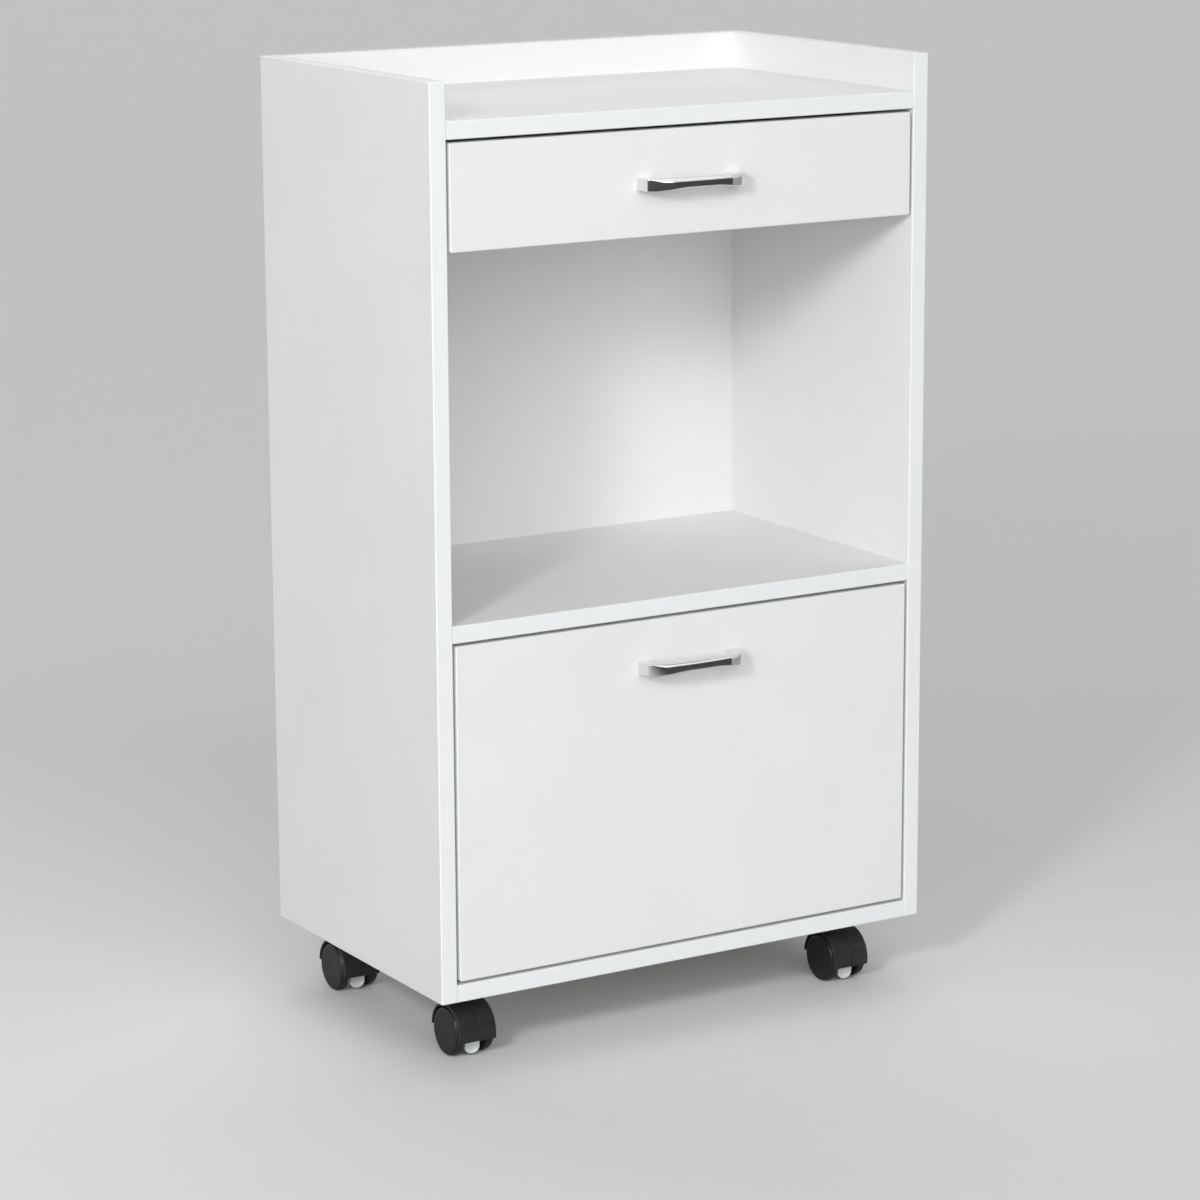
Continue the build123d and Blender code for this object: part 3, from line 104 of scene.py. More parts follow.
class BoardSettings(PropertyGroup):
    """The white faced boards and their glued edging."""

    colour: FloatVectorProperty(
        name="Board colour", description="Colour of the satin board faces",
        default=(0.862, 0.860, 0.852), size=3, subtype="COLOR", min=0, max=1)
    edge_colour: FloatVectorProperty(
        name="Edge colour", description="Colour of the glued edging on the narrow faces",
        default=(0.884, 0.894, 0.898), size=3, subtype="COLOR", min=0, max=1)
    edge_round: FloatProperty(
        name="Edge rounding", description="Radius of the edging's long edges",
        default=0.0011, unit="LENGTH", min=0.0001, max=0.002)
    edging: FloatProperty(
        name="Edging thickness", description="Thickness of the glued edging",
        default=0.001, unit="LENGTH", min=0.0003, max=0.003)
    glue_line: FloatProperty(
        name="Glue line", description="Width of the fine line where edging and board meet",
        default=0.00018, unit="LENGTH", min=0.00005, max=0.001)
    grain: FloatProperty(
        name="Grain size", description="Size of the fine pearl texture on the board faces",
        default=0.0009, unit="LENGTH", min=0.0002, max=0.01)
    roughness: FloatProperty(
        name="Roughness", description="How matt the board faces are",
        default=0.42, min=0, max=1)


class HandleSettings(PropertyGroup):
    """The two bow handles, as seen from above and from the front."""

    foot_width: FloatProperty(
        name="Foot width", description="Width of each foot where it meets the panel",
        default=0.0135, unit="LENGTH", min=0.004, max=0.03)
    side_lean: FloatProperty(
        name="Side lean", description="How far the end faces lean inward",
        default=0.0023, unit="LENGTH", min=0, max=0.01)
    side_depth: FloatProperty(
        name="Side depth", description="How far the end faces stand out before the front begins",
        default=0.014, unit="LENGTH", min=0.004, max=0.03)
    bar_depth: FloatProperty(
        name="Bar depth", description="Thickness of the bar from front to back",
        default=0.0095, unit="LENGTH", min=0.003, max=0.02)
    bow_length: FloatProperty(
        name="Bow length", description="Length of the gently bowed middle of the bar",
        default=0.062, unit="LENGTH", min=0.01, max=0.09)
    bow_rise: FloatProperty(
        name="Bow rise", description="How far the middle stands out past the ends of the bow",
        default=0.0014, unit="LENGTH", min=0.0001, max=0.01)
    crease: FloatProperty(
        name="Crease", description="How sharply the front turns back where the bow ends",
        default=math.radians(7), subtype="ANGLE", min=0, max=0.3)
    waist_height: FloatProperty(
        name="Waist height", description="Height of the bar at its slim middle",
        default=0.0088, unit="LENGTH", min=0.004, max=0.0115)
    waist_length: FloatProperty(
        name="Waist length", description="Length of the slim middle",
        default=0.026, unit="LENGTH", min=0.005, max=0.08)
    waist_end: FloatProperty(
        name="Waist end", description="Length over which the bar reaches its full height",
        default=0.094, unit="LENGTH", min=0.02, max=0.107)
    edge_round: FloatProperty(
        name="Edge rounding", description="Radius of the long edges",
        default=0.0009, unit="LENGTH", min=0.0002, max=0.002)
    top_round: FloatProperty(
        name="Top rounding", description="How far the bar's rounded top reaches back in the middle",
        default=0.0052, unit="LENGTH", min=0.001, max=0.008)
    top_drop: FloatProperty(
        name="Top drop", description="How far the bar's rounded top comes down its front",
        default=0.0036, unit="LENGTH", min=0.001, max=0.005)
    top_start: FloatProperty(
        name="Top start", description="Distance from the middle at which the rounded top is full",
        default=0.034, unit="LENGTH", min=0.01, max=0.04)
    bottom_round: FloatProperty(
        name="Bottom rounding", description="Radius of the bar's lower front edge in the middle",
        default=0.0016, unit="LENGTH", min=0.0005, max=0.003)
    corner_soft: FloatProperty(
        name="Corner softness", description="Length over which the shoulders are eased",
        default=0.0007, unit="LENGTH", min=0.0001, max=0.004)
    colour: FloatVectorProperty(
        name="Chrome colour", description="Colour of the polished plating",
        default=(0.80, 0.81, 0.82), size=3, subtype="COLOR", min=0, max=1)


class CastorSettings(PropertyGroup):
    """One twin-wheel castor: its hood, wheels and brake pedal."""

    rim: FloatProperty(
        name="Rim thickness", description="Thickness of the wheel's rim under its tread",
        default=0.0033, unit="LENGTH", min=0.001, max=0.008)
    wall: FloatProperty(
        name="Disc thickness", description="Thickness of the wheel's outer disc",
        default=0.003, unit="LENGTH", min=0.001, max=0.006)
    hub_radius: FloatProperty(
        name="Hub radius", description="Radius of the hub inside the wheel",
        default=0.005, unit="LENGTH", min=0.003, max=0.01)
    bore_radius: FloatProperty(
        name="Bore radius", description="Radius of the hub's bore on the axle",
        default=0.00255, unit="LENGTH", min=0.001, max=0.004)
    wheel_width: FloatProperty(
        name="Wheel width", description="Width of the wheel's tread",
        default=0.008, unit="LENGTH", min=0.004, max=0.015)
    wheel_edge: FloatProperty(
        name="Wheel edge", description="Radius between the outer disc and the tread",
        default=0.003, unit="LENGTH", min=0.0003, max=0.004)
    dish: FloatProperty(
        name="Dish depth", description="How far the outer disc sinks inside its rim",
        default=0.0004, unit="LENGTH", min=0, max=0.002)
    trail: FloatProperty(
        name="Trail", description="Distance from the king pin to the axle, seen from the side",
        default=0.012, unit="LENGTH", min=0, max=0.03)
    hood_wall: FloatProperty(
        name="Hood wall", description="Thickness of the hood's barrel",
        default=0.0023, unit="LENGTH", min=0.001, max=0.005)
    hood_round: FloatProperty(
        name="Hood edge", description="Radius of the hood's outer end edges",
        default=0.0011, unit="LENGTH", min=0.0002, max=0.0022)
    front_droop: FloatProperty(
        name="Front droop", description="How far the hood's front edge lies below the axle",
        default=math.radians(12), subtype="ANGLE", min=0, max=1)
    back_rise: FloatProperty(
        name="Back rise", description="How far the hood's back edge lies above the axle",
        default=math.radians(2), subtype="ANGLE", min=0, max=1)
    seam: FloatProperty(
        name="Seam width", description="Width of the moulding seam round the middle of the hood",
        default=0.0008, unit="LENGTH", min=0.0001, max=0.002)
    seam_depth: FloatProperty(
        name="Seam depth", description="Depth of the moulding seam",
        default=0.0007, unit="LENGTH", min=0.0001, max=0.001)
    web: FloatProperty(
        name="Web thickness", description="Thickness of the web between the wheels",
        default=0.010, unit="LENGTH", min=0.004, max=0.02)
    neck_radius: FloatProperty(
        name="Neck radius", description="Radius of the neck round the king pin",
        default=0.0085, unit="LENGTH", min=0.004, max=0.015)
    pedal_width: FloatProperty(
        name="Pedal width", description="Width of the pedal's tongue",
        default=0.0152, unit="LENGTH", min=0.008, max=0.02)
    pedal_thickness: FloatProperty(
        name="Pedal thickness", description="Thickness of the pedal's tongue",
        default=0.0042, unit="LENGTH", min=0.002, max=0.008)
    pedal_corner: FloatProperty(
        name="Pedal corner", description="Radius of the tongue's corners",
        default=0.007, unit="LENGTH", min=0.001, max=0.0075)
    pedal_rim: FloatProperty(
        name="Pedal rim", description="Width of the bright rim round the tongue's recess",
        default=0.0016, unit="LENGTH", min=0.0005, max=0.004)
    pedal_recess: FloatProperty(
        name="Pedal recess", description="Depth of the recess inside the tongue's rim",
        default=0.0005, unit="LENGTH", min=0, max=0.001)
    plastic_colour: FloatVectorProperty(
        name="Hood colour", description="Colour of the moulded hood",
        default=(0.018, 0.018, 0.0185), size=3, subtype="COLOR", min=0, max=1)
    wheel_colour: FloatVectorProperty(
        name="Wheel colour", description="Colour of the hard wheel plastic",
        default=(0.009, 0.009, 0.0095), size=3, subtype="COLOR", min=0, max=1)
    pedal_colour: FloatVectorProperty(
        name="Pedal colour", description="Colour of the milky pedal plastic",
        default=(0.70, 0.72, 0.73), size=3, subtype="COLOR", min=0, max=1)


class FittingSettings(PropertyGroup):
    """The metal, nylon and wood parts inside the cabinet."""

    zinc_colour: FloatVectorProperty(
        name="Zinc colour", description="Colour of the bright zinc plating",
        default=(0.60, 0.61, 0.62), size=3, subtype="COLOR", min=0, max=1)
    coating_colour: FloatVectorProperty(
        name="Runner colour", description="Colour of the runners' epoxy coating",
        default=(0.78, 0.78, 0.76), size=3, subtype="COLOR", min=0, max=1)
    nylon_colour: FloatVectorProperty(
        name="Nylon colour", description="Colour of the rollers, bushes and the catch",
        default=(0.80, 0.80, 0.77), size=3, subtype="COLOR", min=0, max=1)
    wood_colour: FloatVectorProperty(
        name="Dowel colour", description="Colour of the turned beech dowels",
        default=(0.62, 0.43, 0.25), size=3, subtype="COLOR", min=0, max=1)
    underside_colour: FloatVectorProperty(
        name="Underside colour", description="Colour of the drawer bottom's rougher underside",
        default=(0.74, 0.73, 0.71), size=3, subtype="COLOR", min=0, max=1)


class StageSettings(PropertyGroup):
    """The floor, the backdrop, the dark card, the light and the camera."""

    floor_colour: FloatVectorProperty(
        name="Floor colour", description="Colour of the plain pale floor",
        default=(0.82, 0.81, 0.80), size=3, subtype="COLOR", min=0, max=1)
    floor_bounce: FloatVectorProperty(
        name="Floor bounce", description="Colour of the floor in the light that it throws back",
        default=(0.54, 0.534, 0.528), size=3, subtype="COLOR", min=0, max=1)
    background_colour: FloatVectorProperty(
        name="Background colour", description="Colour that gloss and glass see past the floor",
        default=(0.72, 0.715, 0.71), size=3, subtype="COLOR", min=0, max=1)
    backdrop_colour: FloatVectorProperty(
        name="Backdrop colour", description="Colour that the camera sees past the floor's far edge",
        default=(0.544, 0.545, 0.540), size=3, subtype="COLOR", min=0, max=1)
    card_colour: FloatVectorProperty(
        name="Card colour", description="Colour of the dark card that the chrome mirrors",
        default=(0.058, 0.056, 0.055), size=3, subtype="COLOR", min=0, max=1)
    card_distance: FloatProperty(
        name="Card distance", description="How far in front of the trolley the dark card stands",
        default=1.15, unit="LENGTH", min=0.6, max=5)
    card_height: FloatProperty(
        name="Card height", description="Height of the dark card",
        default=1.05, unit="LENGTH", min=0.2, max=3)
    card_start: FloatProperty(
        name="Card start", description="Where the card starts, left of straight ahead",
        default=math.radians(-75), subtype="ANGLE")
    card_end: FloatProperty(
        name="Card end", description="Where the card ends, right of straight ahead",
        default=math.radians(47), subtype="ANGLE")
    fade_foot: FloatProperty(
        name="Fade at the foot", description="Where the card's foot is fully dark",
        default=math.radians(0), subtype="ANGLE")
    fade_top: FloatProperty(
        name="Fade at the top", description="Where the card's top is fully dark",
        default=math.radians(-85), subtype="ANGLE")
    fade_width: FloatProperty(
        name="Fade width", description="How far the card fades to the left from where it is dark",
        default=math.radians(60), subtype="ANGLE")
    sky_light: FloatProperty(
        name="Sky light", description="Strength of the even light from all round",
        default=0.13, min=0, max=3)
    key_light: FloatProperty(
        name="Key light", description="Strength of the main lamp's light at the trolley",
        default=1.0, min=0, max=10)
    key_azimuth: FloatProperty(
        name="Key azimuth", description="Where the main lamp hangs, left of straight ahead",
        default=math.radians(-51), subtype="ANGLE")
    key_height: FloatProperty(
        name="Key height", description="Angle of the main lamp above the trolley's middle",
        default=math.radians(23), subtype="ANGLE")
    key_distance: FloatProperty(
        name="Key distance", description="How far the main lamp hangs from the trolley",
        default=3.2, unit="LENGTH", min=1, max=20)
    key_size: FloatProperty(
        name="Key size", description="Diameter of the main lamp",
        default=0.5, unit="LENGTH", min=0.05, max=5)
    lens: FloatProperty(
        name="Lens", description="Focal length of the camera in millimetres, on a 36 mm sensor",
        default=118.86, min=10, max=400)
    camera_place: FloatVectorProperty(
        name="Camera place", description="Where the camera stands",
        default=(-1.8800, -3.1014, 1.1921), size=3, subtype="TRANSLATION", unit="LENGTH")
    yaw: FloatProperty(
        name="Yaw", description="Camera's turn to the right of straight ahead",
        default=math.radians(31.1635), subtype="ANGLE")
    pitch: FloatProperty(
        name="Pitch", description="How far the camera looks down",
        default=math.radians(12.6707), subtype="ANGLE")
    roll: FloatProperty(
        name="Roll", description="Camera's turn about its own line of sight",
        default=math.radians(-0.2970), subtype="ANGLE")


class TrolleySettings(PropertyGroup):
    """All settings of the trolley."""

    boards: PointerProperty(type=BoardSettings)
    handles: PointerProperty(type=HandleSettings)
    castors: PointerProperty(type=CastorSettings)
    fittings: PointerProperty(type=FittingSettings)
    stage: PointerProperty(type=StageSettings)


# Surfaces


def grid_faces(rows, columns, wrap=False):
    """Quads between neighbouring points of a grid whose columns always close on themselves, and
    whose rows do where wrap is true."""
    row = np.arange(rows if wrap else rows - 1)[:, None]
    column = np.arange(columns)[None, :]
    next_row, next_column = (row + 1) % rows, (column + 1) % columns
    corners = (row * columns + column, next_row * columns + column,
               next_row * columns + next_column, row * columns + next_column)
    return np.stack(np.broadcast_arrays(*corners), -1).reshape(-1, 4).tolist()


def tube(rings):
    """A closed shell from a stack of rings, shape (rings, points, 3), with both ends filled."""
    count, size = rings.shape[:2]
    ends = [list(range(size))[::-1], list(range((count - 1) * size, count * size))]
    return rings.reshape(-1, 3), grid_faces(count, size) + ends


def turned(profile, centre, steps=64, axis=0):
    """A solid of revolution about an axis through centre: a profile point (along, radius) becomes
    along, radius cos t, radius sin t. A profile whose ends have radius 0 is closed by two poles,
    and any other profile is a loop."""
    profile = np.asarray(profile, float)
    loop = profile[0, 1] > 0
    rows = profile if loop else profile[1:-1]
    turn = np.linspace(0, 2 * math.pi, steps, endpoint=False)
    rings = np.empty((len(rows), steps, 3))
    rings[..., axis] = rows[:, :1]
    rings[..., (axis + 1) % 3] = rows[:, 1:] * np.cos(turn)
    rings[..., (axis + 2) % 3] = rows[:, 1:] * np.sin(turn)
    points = rings.reshape(-1, 3)
    faces = grid_faces(len(rows), steps, wrap=loop)
    if not loop:
        poles = np.zeros((2, 3))
        poles[:, axis] = profile[[0, -1], 0]
        here = np.arange(steps)
        there = (here + 1) % steps
        last_row = (len(rows) - 1) * steps
        first, last = np.full(steps, len(points)), np.full(steps, len(points) + 1)
        faces += np.stack([first, here, there], -1).tolist()
        faces += np.stack([last, last_row + there, last_row + here], -1).tolist()
        points = np.vstack([points, poles])
    return points + np.asarray(centre, float), faces


def rounded(corners, radii, steps=7):
    """A closed outline through its corners, each replaced by an arc that touches both sides. The
    arc's centre lies on the corner's bisector, at radius / sin of half the corner's angle."""
    corners = np.asarray(corners, float)
    radii = np.broadcast_to(np.asarray(radii, float), len(corners))[:, None]
    back, ahead = np.roll(corners, 1, 0) - corners, np.roll(corners, -1, 0) - corners
    back /= np.linalg.norm(back, axis=1, keepdims=True)
    ahead /= np.linalg.norm(ahead, axis=1, keepdims=True)
    half = np.arccos(np.clip((back * ahead).sum(1, keepdims=True), -1, 1)) / 2
    bisector = back + ahead
    bisector /= np.linalg.norm(bisector, axis=1, keepdims=True)
    centre = corners + bisector * radii / np.sin(half)
    first = corners + back * radii / np.tan(half) - centre
    last = corners + ahead * radii / np.tan(half) - centre
    turn = (math.pi - 2 * half)[:, None]
    share = np.linspace(0, 1, steps)[None, :, None]
    spread = np.sin((1 - share) * turn) * first[:, None] + np.sin(share * turn) * last[:, None]
    return (centre[:, None] + spread / np.sin(turn)).reshape(-1, 2)


def bar(radius, reach, centre, bevel, steps=32):
    """A round bar along X with beveled ends."""
    profile = [(-reach, 0), (-reach, radius - bevel), (bevel - reach, radius),
               (reach - bevel, radius), (reach, radius - bevel), (reach, 0)]
    return turned(profile, centre, steps)


def prism(outline, low, high, bevel):
    """A plate with a (y, z) outline between two places along X. At both faces the outline shrinks
    towards its middle by the bevel."""
    outline = np.asarray(outline, float)
    middle = (outline.min(0) + outline.max(0)) / 2
    half = (outline.max(0) - outline.min(0)) / 2
    small = middle + (outline - middle) * (1 - bevel / half)
    rings = [np.column_stack([np.full(len(shape), x), shape])
             for x, shape in ((low, small), (low + bevel, outline), (high - bevel, outline),
                              (high, small))]
    return tube(np.stack(rings))


def arc_about(centre, radius, start, end, count):
    """Points about a centre in the (y, z) plane, between two angles from +Y towards +Z."""
    angle = np.linspace(start, end, count)
    return np.asarray(centre) + radius * np.column_stack([np.cos(angle), np.sin(angle)])


def arc_to(start, heading, end, count):
    """Points of the circular arc that leaves start along heading and reaches end, and its heading
    there. Its radius is the chord squared over twice the chord's share across the heading."""
    start, end, heading = (np.asarray(value, float) for value in (start, end, heading))
    chord = end - start
    across = np.array([-heading[1], heading[0]])
    radius = chord @ chord / (2 * (across @ chord))
    sweep = 2 * math.asin(np.linalg.norm(chord) / (2 * abs(radius))) * math.copysign(1, radius)
    angle = np.linspace(0, sweep, count)[:, None]
    points = start + radius * (across * (1 - np.cos(angle)) + heading * np.sin(angle))
    return points, heading * math.cos(sweep) + across * math.sin(sweep)


def eased(outline, width, samples=9):
    """An open outline with its corners eased: each point becomes the mean of the outline over a
    span of that width to both sides, which shrinks to nothing at the two ends."""
    steps = np.linalg.norm(np.diff(outline, axis=0), axis=1)
    along = np.concatenate([[0], np.cumsum(steps)])
    room = np.minimum(np.minimum(along, along[-1] - along), width)
    spots = along[:, None] + np.linspace(-1, 1, samples) * room[:, None]
    return np.stack([np.interp(spots, along, outline[:, axis]).mean(1) for axis in (0, 1)], -1)


def smooth_step(value, low, high):
    """0 below low and 1 above high, with a cubic rise between them."""
    share = np.clip((value - low) / (high - low), 0, 1)
    return share * share * (3 - 2 * share)


def new_piece(name, mesh, material, body, slot, *nodes):
    """An object for a mesh, which takes a material, rides on a body and stands for frame nodes."""
    mesh.materials.clear()
    mesh.materials.append(material)
    piece = bpy.data.objects.new(name, mesh)
    bpy.context.scene.collection.objects.link(piece)
    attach(piece, body)
    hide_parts(*nodes)
    return piece


def joined_mesh(name, shells, sharp=35):
    """A mesh of closed shells with outward normals, smooth up to a sharp angle in degrees."""
    points = np.vstack([shell[0] for shell in shells])
    starts = np.cumsum([0] + [len(shell[0]) for shell in shells[:-1]])
    faces = [[int(index + start) for index in face]
             for start, shell in zip(starts, shells) for face in shell[1]]
    mesh = bpy.data.meshes.new(name)
    mesh.from_pydata(points.tolist(), [], faces)
    work = bmesh.new()
    work.from_mesh(mesh)
    bmesh.ops.recalc_face_normals(work, faces=work.faces)
    work.to_mesh(mesh)
    work.free()
    mesh.shade_smooth()
    mesh.set_sharp_from_angle(angle=math.radians(sharp))
    return mesh


# Shader nodes


class Graph:
    """A node tree that is filled one node at a time."""

    def __init__(self, tree):
        self.tree = tree

    def put(self, socket, value):
        """Links another socket to this one, or sets its value."""
        if isinstance(value, bpy.types.NodeSocket):
            self.tree.links.new(value, socket)
        else:
            socket.default_value = value

    def add(self, kind, inputs=None, **settings):
        """A node with its settings, and its inputs by name or by number."""
        node = self.tree.nodes.new(kind)
        for name, value in settings.items():
            setattr(node, name, value)
        for key, value in (inputs or {}).items():
            self.put(node.inputs[key], value)
        return node

    def maths(self, operation, *values, clamp=False):
        """The result of a Math node."""
        return self.add("ShaderNodeMath", dict(enumerate(values)), operation=operation,
                        use_clamp=clamp).outputs[0]

    def vector(self, operation, *values):
        """The vector result of a Vector Math node."""
        return self.add("ShaderNodeVectorMath", dict(enumerate(values)),
                        operation=operation).outputs[0]

    def noise(self, vector, scale, detail=2.0, roughness=0.5):
        """The value of a noise texture."""
        inputs = {"Vector": vector, "Scale": scale, "Detail": detail, "Roughness": roughness}
        return self.add("ShaderNodeTexNoise", inputs).outputs[0]

    def ramp(self, value, low, high, start=0.0, end=1.0):
        """A value that goes smoothly from start to end while its input goes from low to high."""
        inputs = {"Value": value, "From Min": low, "From Max": high, "To Min": start, "To Max": end}
        return self.add("ShaderNodeMapRange", inputs, interpolation_type="SMOOTHSTEP").outputs[0]

    def mix(self, factor, first, second):
        """A mix of two colours, whose sockets are numbers 6 and 7 of the Mix node."""
        return self.add("ShaderNodeMix", {0: factor, 6: first, 7: second},
                        data_type="RGBA").outputs[2]

    def split(self, vector):
        """The three outputs of a vector."""
        return self.add("ShaderNodeSeparateXYZ", {0: vector}).outputs


def new_group(name, inputs, outputs):
    """An empty shader node group with named inputs and outputs: the group, its graph, what it is
    given and what it puts out."""
    group = bpy.data.node_groups.new(name, "ShaderNodeTree")
    for socket, kind, default in inputs:
        made = group.interface.new_socket(socket, in_out="INPUT", socket_type=kind)
        if default is not None:
            made.default_value = default
    for socket in outputs:
        group.interface.new_socket(socket, in_out="OUTPUT", socket_type="NodeSocketFloat")
    graph = Graph(group)
    return group, graph, graph.add("NodeGroupInput").outputs, graph.add("NodeGroupOutput").inputs


def grain_group():
    """Fine grain: a bump height of a given size, a roughness that wanders with it, and a broad
    tone that changes over a patch."""
    group, graph, given, result = new_group(
        "Fine Grain",
        [("Vector", "NodeSocketVector", None), ("Size", "NodeSocketFloat", 0.001),
         ("Roughness", "NodeSocketFloat", 0.4), ("Spread", "NodeSocketFloat", 0.05),
         ("Patch", "NodeSocketFloat", 0.08)],
        ["Height", "Roughness", "Tone"])
    fine = graph.noise(given["Vector"], graph.maths("DIVIDE", 1.0, given["Size"]), 3.0, 0.6)
    broad = graph.noise(given["Vector"], graph.maths("DIVIDE", 1.0, given["Patch"]), 3.0, 0.55)
    swing = graph.maths("SUBTRACT", graph.maths("ADD", fine, broad), 1.0)
    wander = graph.maths("MULTIPLY", swing, given["Spread"])
    graph.put(result["Height"], fine)
    graph.put(result["Roughness"], graph.maths("ADD", given["Roughness"], wander, clamp=True))
    graph.put(result["Tone"], broad)
    return group


def hairline_group():
    """Hairline scratches: thin lines where a stretched noise crosses its middle value, kept only in
    some patches."""
    line_width, patch_scale = 0.012, 45.0
    group, graph, given, result = new_group(
        "Hairlines",
        [("Vector", "NodeSocketVector", None), ("Stretch", "NodeSocketVector", (1.0, 1.0, 1.0)),
         ("Scale", "NodeSocketFloat", 200.0), ("Amount", "NodeSocketFloat", 0.3)],
        ["Mask"])
    stretched = graph.vector("MULTIPLY", given["Vector"], given["Stretch"])
    offset = graph.maths("SUBTRACT", graph.noise(stretched, given["Scale"]), 0.5)
    thin = graph.ramp(graph.maths("ABSOLUTE", offset), 0.0, line_width, 1.0, 0.0)
    patches = graph.ramp(graph.noise(given["Vector"], patch_scale), 0.45, 0.7)
    graph.put(result["Mask"], graph.maths("MULTIPLY", graph.maths("MULTIPLY", thin, patches),
                                          given["Amount"]))
    return group


def edging_group():
    """Glued edging: how near a point is to a narrow face, as the board's half size less the
    distance from its centre, gives the edging and the fine line where it meets the face."""
    group, graph, given, result = new_group(
        "Board Edging",
        [("Vector", "NodeSocketVector", None), ("Centre", "NodeSocketVector", None),
         ("Half Size", "NodeSocketVector", None), ("Edging", "NodeSocketFloat", 0.001),
         ("Line", "NodeSocketFloat", 0.0002)],
        ["Edging", "Line"])
    away = graph.vector("ABSOLUTE", graph.vector("SUBTRACT", given["Vector"], given["Centre"]))
    room = graph.split(graph.vector("SUBTRACT", given["Half Size"], away))
    nearest = graph.maths("MINIMUM", graph.maths("MINIMUM", room[0], room[1]), room[2])
    offset = graph.maths("ABSOLUTE", graph.maths("SUBTRACT", nearest, given["Edging"]))
    share = graph.maths("DIVIDE", offset, given["Line"])
    graph.put(result["Line"], graph.ramp(share, 0.3, 1.0, 1.0, 0.0))
    graph.put(result["Edging"], graph.maths("LESS_THAN", nearest, given["Edging"]))
    return group


def dust_group():
    """Settled dust: soft patches on the faces that look up."""
    patch_scale = 60.0
    group, graph, given, result = new_group(
        "Settled Dust",
        [("Vector", "NodeSocketVector", None), ("Normal", "NodeSocketVector", None),
         ("Amount", "NodeSocketFloat", 0.1)],
        ["Mask"])
    upward = graph.ramp(graph.split(given["Normal"])["Z"], 0.2, 0.95)
    patches = graph.ramp(graph.noise(given["Vector"], patch_scale, 4.0, 0.6), 0.35, 0.75)
    graph.put(result["Mask"], graph.maths("MULTIPLY", graph.maths("MULTIPLY", upward, patches),
                                          given["Amount"]))
    return group


GROUPS = {"Fine Grain": grain_group, "Hairlines": hairline_group, "Board Edging": edging_group,
          "Settled Dust": dust_group}


def placed(graph, name, **inputs):
    """The outputs of a shared group placed in a material. The group is built when first needed, and
    its inputs are named in lower case with underscores."""
    group = bpy.data.node_groups.get(name) or GROUPS[name]()
    node = graph.add("ShaderNodeGroup", node_tree=group)
    for key, value in inputs.items():
        graph.put(node.inputs[key.replace("_", " ").title()], value)
    return node.outputs


# Materials

DUST_COLOUR = (0.3, 0.29, 0.28, 1.0)
SCUFF_COLOUR = (0.2, 0.19, 0.18, 1.0)


def new_material(name, constants=None):
    """A material's graph, the inputs of its shader and its texture coordinates. Constants go into
    the shader's own sockets."""
    material = bpy.data.materials.new(name)
    material.use_nodes = True
    graph = Graph(material.node_tree)
    shader = material.node_tree.nodes["Principled BSDF"]
    for socket, value in (constants or {}).items():
        graph.put(shader.inputs[socket], value)
    return material, graph, shader.inputs, graph.add("ShaderNodeTexCoord").outputs


def rgba(colour, gain=1.0):
    """A colour of three numbers as four, times a gain."""
    return (*[channel * gain for channel in colour], 1.0)


def bump(graph, inputs, height, distance):
    """Feeds a height, which stands for that distance, into the shader's normal."""
    node = graph.add("ShaderNodeBump", {"Height": height, "Distance": distance})
    graph.put(inputs["Normal"], node.outputs["Normal"])


def board_material(node, settings):
    """Satin white board: a fine pearl grain, a faint change of tone, and edging with its glue
    line."""
    low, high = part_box(node)
    half = (high - low) / 2
    thin = min(range(3), key=lambda axis: half[axis])
    half[thin] = 1.0
    material, graph, inputs, where = new_material(f"white_{node}")
    grain = placed(graph, "Fine Grain", vector=where["Object"], size=settings.grain,
                   roughness=settings.roughness, spread=0.07, patch=0.11)
    edging = placed(graph, "Board Edging", vector=where["Object"], centre=(low + high) / 2,
                    half_size=half, edging=settings.edging, line=settings.glue_line)
    face = graph.mix(graph.ramp(grain["Tone"], 0.3, 0.7), rgba(settings.colour, 0.98),
                     rgba(settings.colour))
    faced = graph.mix(edging["Edging"], face, rgba(settings.edge_colour))
    line = graph.maths("MULTIPLY", edging["Line"], 0.3)
    graph.put(inputs["Base Color"], graph.mix(line, faced, rgba(settings.colour, 0.5)))
    smoother = graph.maths("MULTIPLY", edging["Edging"], 0.1)
    graph.put(inputs["Roughness"], graph.maths("SUBTRACT", grain["Roughness"], smoother))
    height = graph.maths("SUBTRACT", grain["Height"], edging["Line"])
    bump(graph, inputs, height, 0.03 * MILLIMETRE)
    return material


def hardboard_material(settings, face_colour):
    """Thin hardboard: white on top, and a rougher, warmer underside."""
    material, graph, inputs, where = new_material("white_hardboard")
    grain = placed(graph, "Fine Grain", vector=where["Object"], size=0.0012, roughness=0.5,
                   spread=0.1, patch=0.06)
    below = graph.maths("LESS_THAN", graph.split(where["Normal"])["Z"], -0.5)
    graph.put(inputs["Base Color"], graph.mix(below, rgba(face_colour),
                                              rgba(settings.underside_colour)))
    graph.put(inputs["Roughness"], graph.maths("ADD", grain["Roughness"],
                                               graph.maths("MULTIPLY", below, 0.2)))
    bump(graph, inputs, grain["Height"], 0.06 * MILLIMETRE)
    return material


